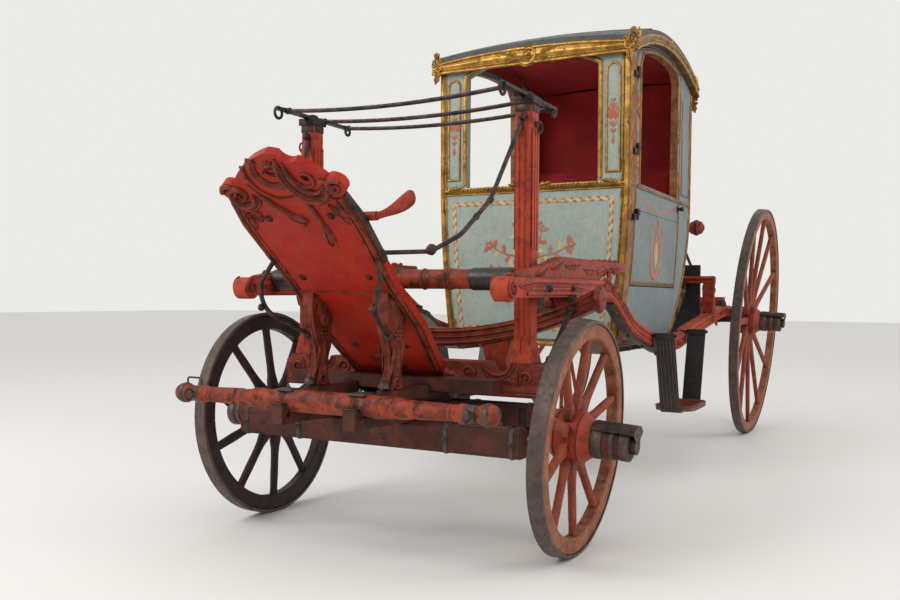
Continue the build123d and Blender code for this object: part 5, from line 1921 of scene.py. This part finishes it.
@dataclass
class Lining(Coach):
    """Crimson plush on the inner walls, the ceiling and the doors, slack between its nails."""

    inset: float = 42.5

    def slack(self, a: Array, b: Array) -> Array:
        """How far the cloth stands off: two crossed slow waves."""
        return 1.2 + np.sin(a / 47 + 0.6 * np.sin(b / 90)) * np.cos(b / 130)

    def side_sheet(self, form: Form, y: tuple, z: tuple) -> None:
        """A sheet on the right-hand wall between two y and two z."""
        y, z = np.meshgrid(np.linspace(*y, 12), np.linspace(*z, 24), indexing="ij")
        form.sheet(columns(self.half_width(z) - self.inset - self.slack(y, z), y, z), LEFT)

    def end_sheet(self, form: Form, z: tuple, rows: int, shares: Array, back: bool = False) -> None:
        """A sheet inside the front or the back wall.

        Args:
            form: takes it.
            z: how low and how high it goes.
            rows: steps up it.
            shares: places across it, as shares of the half width.
            back: whether it lines the back wall.
        """
        z, share = np.meshgrid(np.linspace(*z, rows), shares, indexing="ij")
        x = share * (self.half_width(z) - self.inset - 1)
        slack = self.slack(x, z)
        y = self.rear(z) - self.inset - slack if back else self.front_y + self.inset + slack
        form.sheet(columns(x, y, z), FRONT if back else REAR)

    def walls(self) -> None:
        """Pillars, rear quarters, the strips over the doors, back and front."""
        form = Form()
        self.side_sheet(form, (1324, 1390), (778, 2285))
        self.side_sheet(form, (2370, 2592), (1134, 2380))
        y = np.linspace(1392, 2368, 40)[:, None]
        z = self.arch_z(y, np.array((86, 34)))
        form.sheet(columns(self.half_width(z) - self.inset, y, z), LEFT)
        form.mirror()
        self.end_sheet(form, (1136, 2425), 44, np.linspace(-1, 1, 36), True)
        self.end_sheet(form, (778, 1616), 24, np.linspace(-1, 1, 30))
        for side in SIDES:
            z, share = np.meshgrid(np.linspace(1616, 2285, 20), np.linspace(0, 1, 6), indexing="ij")
            x = side * (396 + share * (self.half_width(z) - self.inset - 397))
            form.sheet(columns(x, self.front_y + self.inset + self.slack(x, z), z), REAR)
        form.piece("wall_lining", Finishes.SILK)

    def ceiling(self) -> None:
        """Cloth under the roof, following its arch and crown, with shallow gathers that run across."""
        y, share = np.meshgrid(np.linspace(1324, 2594, 70), np.linspace(-1, 1, 30), indexing="ij")
        x = share * (self.half_width(2350) - self.inset - 2)
        z = self.arch_z(y, 29) + 35 * (1 - (x / self.cornice_half) ** 2) - 2 - 2.5 * np.abs(np.sin(y / 26))
        Form().sheet(columns(x, y, z), DOWN).piece("ceiling_lining", Finishes.SILK)

    def doors(self) -> None:
        """Padded cloth inside each door, below and beside its window."""
        for side in ("right", "left"):
            form = Form()
            self.side_sheet(form, (1412, 2348), (1086, 1610))
            self.side_sheet(form, (1412, 1476), (1610, 2330))
            self.side_sheet(form, (2284, 2348), (1610, 2330))
            form.placed(side).piece(f"door_lining_{side}", Finishes.SILK, f"door_{side}")

    def build(self) -> None:
        """Makes the lining."""
        self.walls()
        self.ceiling()
        self.doors()


@dataclass
class Cushions:
    """The bench's seat and back cushions, swollen by a cloth simulation from their solids, in metres."""

    nodes: ClassVar[dict] = {}
    voxel: float = 0.01
    cap: float = 0.024
    crown: float = 0.012
    margin: float = 0.0005
    frames: int = 20

    def swollen(self, node: str, shrink: float, pinch: float) -> None:
        """Copies a solid, draws it in, blows it up as cloth and caps how far each point goes.

        Args:
            node: the frame's solid.
            shrink: how far the start is drawn in at each side.
            pinch: how far the sides pull in between the corners.
        """
        shape = bmesh.new()
        shape.from_mesh(Cushions.nodes[node].data)
        bmesh.ops.remove_doubles(shape, verts=shape.verts, dist=1e-5)
        mesh = bpy.data.meshes.new(node + "_swollen")
        shape.to_mesh(mesh)
        shape.free()
        obj = new_object(node + "_swollen", mesh)
        points = self.read(mesh)
        low, high = points.min(0), points.max(0)
        middle, half = (low + high) / 2, (high - low) / 2
        self.write(mesh, middle + (points - middle) * (1 - shrink / half))
        self.modified(obj, "REMESH", mode="VOXEL", voxel_size=self.voxel)
        start = self.read(obj.data)
        self.blow(obj)
        moved = self.read(obj.data) - start
        far = np.linalg.norm(moved, axis=1, keepdims=True)
        points = start + moved * np.minimum(1, self.cap / np.maximum(far, 1e-9))
        rel = (points - middle) / half
        bulge = (1 - rel ** 2).clip(0)
        thin = int(np.argmin(half))
        one, two = (axis for axis in range(3) if axis != thin)
        points[:, thin] -= np.sign(rel[:, thin]) * self.crown * (1 - bulge[:, one] * bulge[:, two])
        for axis, other in ((one, two), (two, one)):
            points[:, axis] -= np.sign(rel[:, axis]) * pinch * bulge[:, other] * rel[:, axis] ** 2
        self.write(obj.data, np.clip(points, low + self.margin, high - self.margin))
        self.modified(obj, "CORRECTIVE_SMOOTH", iterations=6, smooth_type="LENGTH_WEIGHTED",
                      use_only_smooth=True)
        finer = obj.modifiers.new("finer", "SUBSURF")
        finer.levels = finer.render_levels = 1
        obj.data.polygons.foreach_set("use_smooth", [True] * len(obj.data.polygons))
        obj.data.materials.clear()
        obj.data.materials.append(Finishes.SILK.material())
        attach(obj, "carriage_frame")
        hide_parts(node)
        log.info("%s: %d faces", obj.name, len(obj.data.polygons))

    def read(self, mesh: bpy.types.Mesh) -> Array:
        """A mesh's points as (n, 3).

        Args:
            mesh: a mesh.
        Returns:
            its points.
        """
        flat = np.empty(len(mesh.vertices) * 3)
        mesh.vertices.foreach_get("co", flat)
        return flat.reshape(-1, 3)

    def write(self, mesh: bpy.types.Mesh, points: Array) -> None:
        """Sets a mesh's points."""
        mesh.vertices.foreach_set("co", points.ravel())
        mesh.update()

    def apply(self, obj: bpy.types.Object) -> None:
        """Puts what the modifiers give into the object's own mesh.

        Args:
            obj: an object with modifiers.
        """
        seen = obj.evaluated_get(bpy.context.evaluated_depsgraph_get())
        mesh = bpy.data.meshes.new_from_object(seen)
        obj.modifiers.clear()
        obj.data = mesh

    def modified(self, obj: bpy.types.Object, kind: str, **settings) -> None:
        """Puts what one modifier gives into the object's own mesh.

        Args:
            obj: the object.
            kind: the modifier's type.
            settings: its properties.
        """
        modifier = obj.modifiers.new(kind.lower(), kind)
        for name, value in settings.items():
            setattr(modifier, name, value)
        self.apply(obj)

    def blow(self, obj: bpy.types.Object) -> None:
        """Runs the cloth with pressure and no gravity, and keeps its last frame.

        Args:
            obj: the cushion's case.
        """
        cloth = obj.modifiers.new("cloth", "CLOTH")
        cloth.settings.use_pressure = True
        cloth.settings.uniform_pressure_force = 4
        cloth.settings.effector_weights.gravity = 0
        cloth.settings.quality = 4
        scene = bpy.context.scene
        for frame in range(1, self.frames + 1):
            scene.frame_set(frame)
        self.apply(obj)
        scene.frame_set(1)

    def build(self) -> None:
        """Makes both cushions."""
        self.swollen("seat_cushion", 0.012, 0.006)
        self.swollen("back_cushion", 0.010, 0.004)


@dataclass
class Slinging:
    """Layered leather braces under the body, their buckles, and the step slings."""

    brace_x: float = 420
    plies: int = 4
    step_y: float = 1880

    def braces(self) -> None:
        """Four plies, each a strip beside the middle line, with a stitched edge and keepers round them."""
        form, keepers, irons = Form(), Form(), Form()
        rows = [(430, 985), (820, 915), (1180, 719.7), (2470, 719.7), (2980, 1060)]
        path = resampled(filleted(rows, [500, 260, 396]), 110)
        along = unit(np.gradient(path, axis=0))
        normal = columns(0, -along[:, 1], along[:, 0])
        line = columns(self.brace_x, *path.T)
        for ply in range(self.plies):
            form.rib(line + normal * (7.5 * ply - 14.1), normal, 39.5 - 1.6 * (ply % 2), 6.2, STRIP)
        square = np.array([(1, 0), (1, 1), (-1, 1), (-1, 0)])
        for number in range(6, len(path) - 4, 9):
            here = slice(number, number + 3)
            keepers.rib(line[here] - normal[here] * 15.4, normal[here], 41.5, 30.6, square)
        for number in (12, len(path) - 12):
            up = normal[number]
            top = line[number] + up * 19
            ahead = unit(line[number + 1] - line[number])
            frame = [top + (x, 0, 0) + ahead * y
                     for x, y in ((-46, -26), (46, -26), (46, 26), (-46, 26), (-46, -26))]
            irons.tube(resampled(frame, 33)[:-1], 5, 8, closed=True, reference=up)
            irons.tube([top - (46, 0, 0), top + (46, 0, 0)], 4, 8)
        form.mirror().piece("brace_plies", Finishes.BRACE_LEATHER, replaces="braces")
        keepers.mirror().piece("brace_keepers", Finishes.BLACK_LEATHER)
        irons.mirror().piece("brace_buckles", Finishes.IRON)

    def steps(self) -> None:
        """Stitched folds along each sling, a mat with a beaded edge on the tread, and rivets at the loops."""
        form, irons, mats = Form(), Form(), Form()
        for end in SIDES:
            ends = [(0, self.step_y + end * 378.5, 778), (0, self.step_y + end * 251.5, 386)]
            strap = resampled(ends, 30)
            out = (0, end * 0.954, -0.298)
            for offset in (-46, -30, -10, 10, 30, 46):
                form.rib(strap + (700 + offset, 0, 0), out, 2.6, 1.6)
            for z in (760, 740):
                for x in (672, 700, 728):
                    irons.dome((x, self.step_y + end * (378.4 - (791 - z) * 0.312), z), out, 5, 3.5, 8)
        corners = [(700, 1668), (807, 1668), (807, 2092), (593, 2092), (593, 1668), (700, 1668)]
        mats.rib(columns(*filleted(corners, [88] * 4)[:-1].T, 399.5), UP, 6, 5, closed=True)
        for y in range(1720, 2050, 40):
            mats.rib([(612, y, 399.6), (788, y, 399.6)], UP, 7, 3, STRIP)
        form.mirror().piece("step_stitching", Finishes.BRACE_LEATHER, slot="black_leather")
        irons.mirror().piece("step_rivets", Finishes.GREY_IRON)
        mats.mirror().piece("step_mats", Finishes.TURNED_RED, slot="bare_wood")

    def build(self) -> None:
        """Makes the slinging."""
        self.braces()
        self.steps()


@dataclass
class RearFrame:
    """Carved uprights, moulded rail, nailed leather, rings on the ball bar, nuts and clips."""

    post_y: float = 3070
    axle_y: float = 3760
    panel_y: float = 3124

    def carving(self) -> None:
        """Lobes and leaves on the uprights, the rail's mouldings, and leaves on the rear transom."""
        form = Form()
        for x, out in ((633, 1), (-567, 1), (567, -1), (-633, -1)):
            field = Carving(form, (x, self.post_y, 0), (0, out, 0), hand=out)
            field.scroll(4, 1066, 34, 9, 0.25, 1.3, 9, 10)
            field.scroll(30, 880, 46, 12, 0.25 + 0.35 * out, -1.3, 11, 11)
            field.leaves((-2, 1030, 270, 150, 24, 11, 0.2), (80, 900, 280, 96, 20, 10, 0.3, 3),
                         (-20, 1090, 270, 80, 13, 8, -0.3, 3))
            field.boss(60, 830, 14, 11)
        x = np.linspace(-636, 636, 50)
        for out in SIDES:
            rail = Carving(form, (0, self.post_y - 30 * out, 0), (out, 0, 0))
            for z, wide, high in ((1146, 7, 8), (1120, 7, 8), (1133, 3, 4)):
                rail.line(columns(x, z), wide, high)
            field = Carving(form, (0, self.axle_y - 45 * out, 0), (out, 0, 0))
            for half in field.hands():
                half.leaves((12, 980, 2, 230, 26, 11, 0.2, 5), (340, 980, 2, 180, 24, 11, -0.2))
                half.scroll(300, 982, 26, 8, 0.25, 1.3, 8, 10)
            field.boss(0, 980, 22, 14)
        form.rib(columns(x, self.post_y, 1155), UP, 24, 6, OGEE)
        form.piece("rear_frame_carving", Finishes.VERMILION)

    def leather(self) -> None:
        """A nailed border round the leather panel, and seams across and down it."""
        nails, seams = Form(), Form()
        nail = Form().dome((0, 0, 0), REAR, 6, 3.5, 8)
        x, z = np.arange(-515, 516, 34.3), np.arange(756, 1230, 34.3)
        for height in (756, 1224):
            nails.copies(nail, columns(x, self.panel_y, height))
            seams.rib([(-524, self.panel_y - 0.5, height), (524, self.panel_y - 0.5, height)], REAR, 13, 2.6,
                      STRIP)
        for place in (-515, 515):
            nails.copies(nail, columns(place, self.panel_y, z))
        for place in (-170, 170):
            seams.rib([(place, self.panel_y - 0.5, 745), (place, self.panel_y - 0.5, 1236)], REAR, 6, 3.5)
        nails.piece("rear_panel_nails", Finishes.WORN_GILT)
        seams.piece("rear_panel_seams", Finishes.BLACK_LEATHER)

    def irons(self) -> None:
        """Bosses on the stays, hoops behind the uprights, bands round the balls, clips and hub nuts."""
        form = Form()
        hoop = smoothed([(3106, 1140), (3170, 1168), (3220, 1120), (3222, 1030), (3170, 960),
                         (3110, 940)], 30)
        for side in SIDES:
            for y, z in ((3150, 1390), (3470, 1368), (3705, 1245)):
                form.lathe([(-13, 8), (-10, 17), (0, 20), (10, 17), (13, 8)], (side * 330, y, z),
                           (0, 0.6, 0.8), 14)
            form.bolt((side * 330, 3038, 1133), FRONT, 10, 10)
            form.tube(columns(side * 600, *hoop.T), 8, reference=RIGHT)
            for x, inner, outer, half, sides in ((480, 50, 56, 9, 40), (352, 28, 32, 8, 32)):
                form.lathe([(-half, inner), (-half, outer), (half, outer), (half, inner)],
                           (side * x, 3200, 1510), RIGHT, sides, ring=True)
            for x in (300, 520):
                form.slab((side * x - 16, self.axle_y - 63, 822), (side * x + 16, self.axle_y + 63, 950), 5)
                form.bolt((side * x, self.axle_y, 949), UP, 9, 10)
            form.dome((side * 600, 3500, 958), UP, 36, 46, 20)
            for y, z in ((3300, 900), (3640, 906.8)):
                form.bolt((side * 633, y, z), (side, 0, 0), 11, 10)
        form.piece("rear_frame_irons", Finishes.IRON)

    def roof(self) -> None:
        """Nails round the roof leather's edge and two seams across it."""
        coach = Coach()
        form, seams = Form(), Form()
        y = np.arange(1262, 2664, 36)
        form.copies(Form().dome((0, 0, 0), RIGHT, 6, 3, 8), columns(604, y, coach.arch_z(y, 14)))
        x = np.linspace(-600, 600, 40)
        crown = 35 * (1 - (x / coach.cornice_half) ** 2)
        for y in (1560, 2420):
            seams.rib(columns(x, y, coach.arch_z(y, 0) + crown - 0.5), UP, 9, 4, STRIP)
        form.mirror().piece("roof_nails", Finishes.WORN_GILT)
        seams.piece("roof_seams", Finishes.BLACK_LEATHER)

    def build(self) -> None:
        """Makes the rear frame's dressings and the roof's."""
        self.carving()
        self.leather()
        self.irons()
        self.roof()


ASSEMBLIES = (Wheels, ForeCarriage, Footboard, FrontFrame, Perches, Coach, Lining, Cushions, Slinging,
              RearFrame)

# Each node's finish
NODE_FINISHES = {
    Finishes.IRON: ("front_axletree", "rear_axletree", "hub_guards_front", "hub_guards_rear", "seat_irons",
                    "footboard_struts", "front_stays", "rear_stays", "brace_irons", "pillar_hinges",
                    "door_hinges_right", "door_hinges_left", "turntable_lower_plate",
                    "turntable_upper_plate"),
    Finishes.TYRE: ("wheel_irons_front_right", "wheel_irons_front_left", "wheel_irons_rear_right",
                    "wheel_irons_rear_left"),
    Finishes.FELLOE: ("wheel_front_right", "wheel_rear_right", "wheel_rear_left"),
    # the front left wheel, darkened as painted shade
    Finishes.PAINTED_SHADE_WHEEL: ("wheel_front_left",),
    Finishes.BROWN_RED: ("front_axle_bed", "crossbar", "frame_arms", "frame_planks", "futchells"),
    Finishes.TURNED_RED: ("splinter_bar", "head_bar", "rear_ball_bar"),
    Finishes.CARVED: ("perch_horns", "transom_pedestals", "rear_uprights", "rear_rail", "handle_bar"),
    Finishes.MAROON: ("front_bolster", "consoles", "front_transom"),
    Finishes.VERMILION: ("perch_right", "perch_left", "posts", "rear_axle_bed", "rear_transom"),
    Finishes.SCARLET: ("footboard",),
    Finishes.BLACK_LEATHER: ("rear_panel", "roof", "step_straps"),
    Finishes.BRACE_LEATHER: ("braces",),
    Finishes.FRONT_BLUE: ("body_front", "body_back"),
    Finishes.SIDE_BLUE: ("body_side_right", "body_side_left", "door_right", "door_left"),
    Finishes.BARE_WOOD: ("body_floor", "seat_bench", "step_treads"),
    Finishes.WORN_GILT: ("cornice",),
    Finishes.SILK: ("seat_cushion", "back_cushion"),
}


def dress_frame(nodes: dict) -> None:
    """Gives every node of the frame its finish.

    Args:
        nodes: the frame's nodes by name.
    """
    for finish, names in NODE_FINISHES.items():
        for name in names:
            node = nodes[name]
            if not node.material_slots:
                node.data.materials.append(None)
            for place in node.material_slots:
                place.material = finish.material()


def main() -> None:
    """Builds the studio and every sub-assembly round the frame, in order."""
    logging.basicConfig(level=logging.INFO, format="%(message)s")
    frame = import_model()
    low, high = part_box("front_axle_bed")
    Form.axle_y = (low.y + high.y) / 2
    Cushions.nodes = frame["nodes"]
    Studio().build()
    dress_frame(frame["nodes"])
    for assembly in ASSEMBLIES:
        log.info("%s", assembly.__name__)
        assembly().build()


if __name__ == "__main__":
    main()
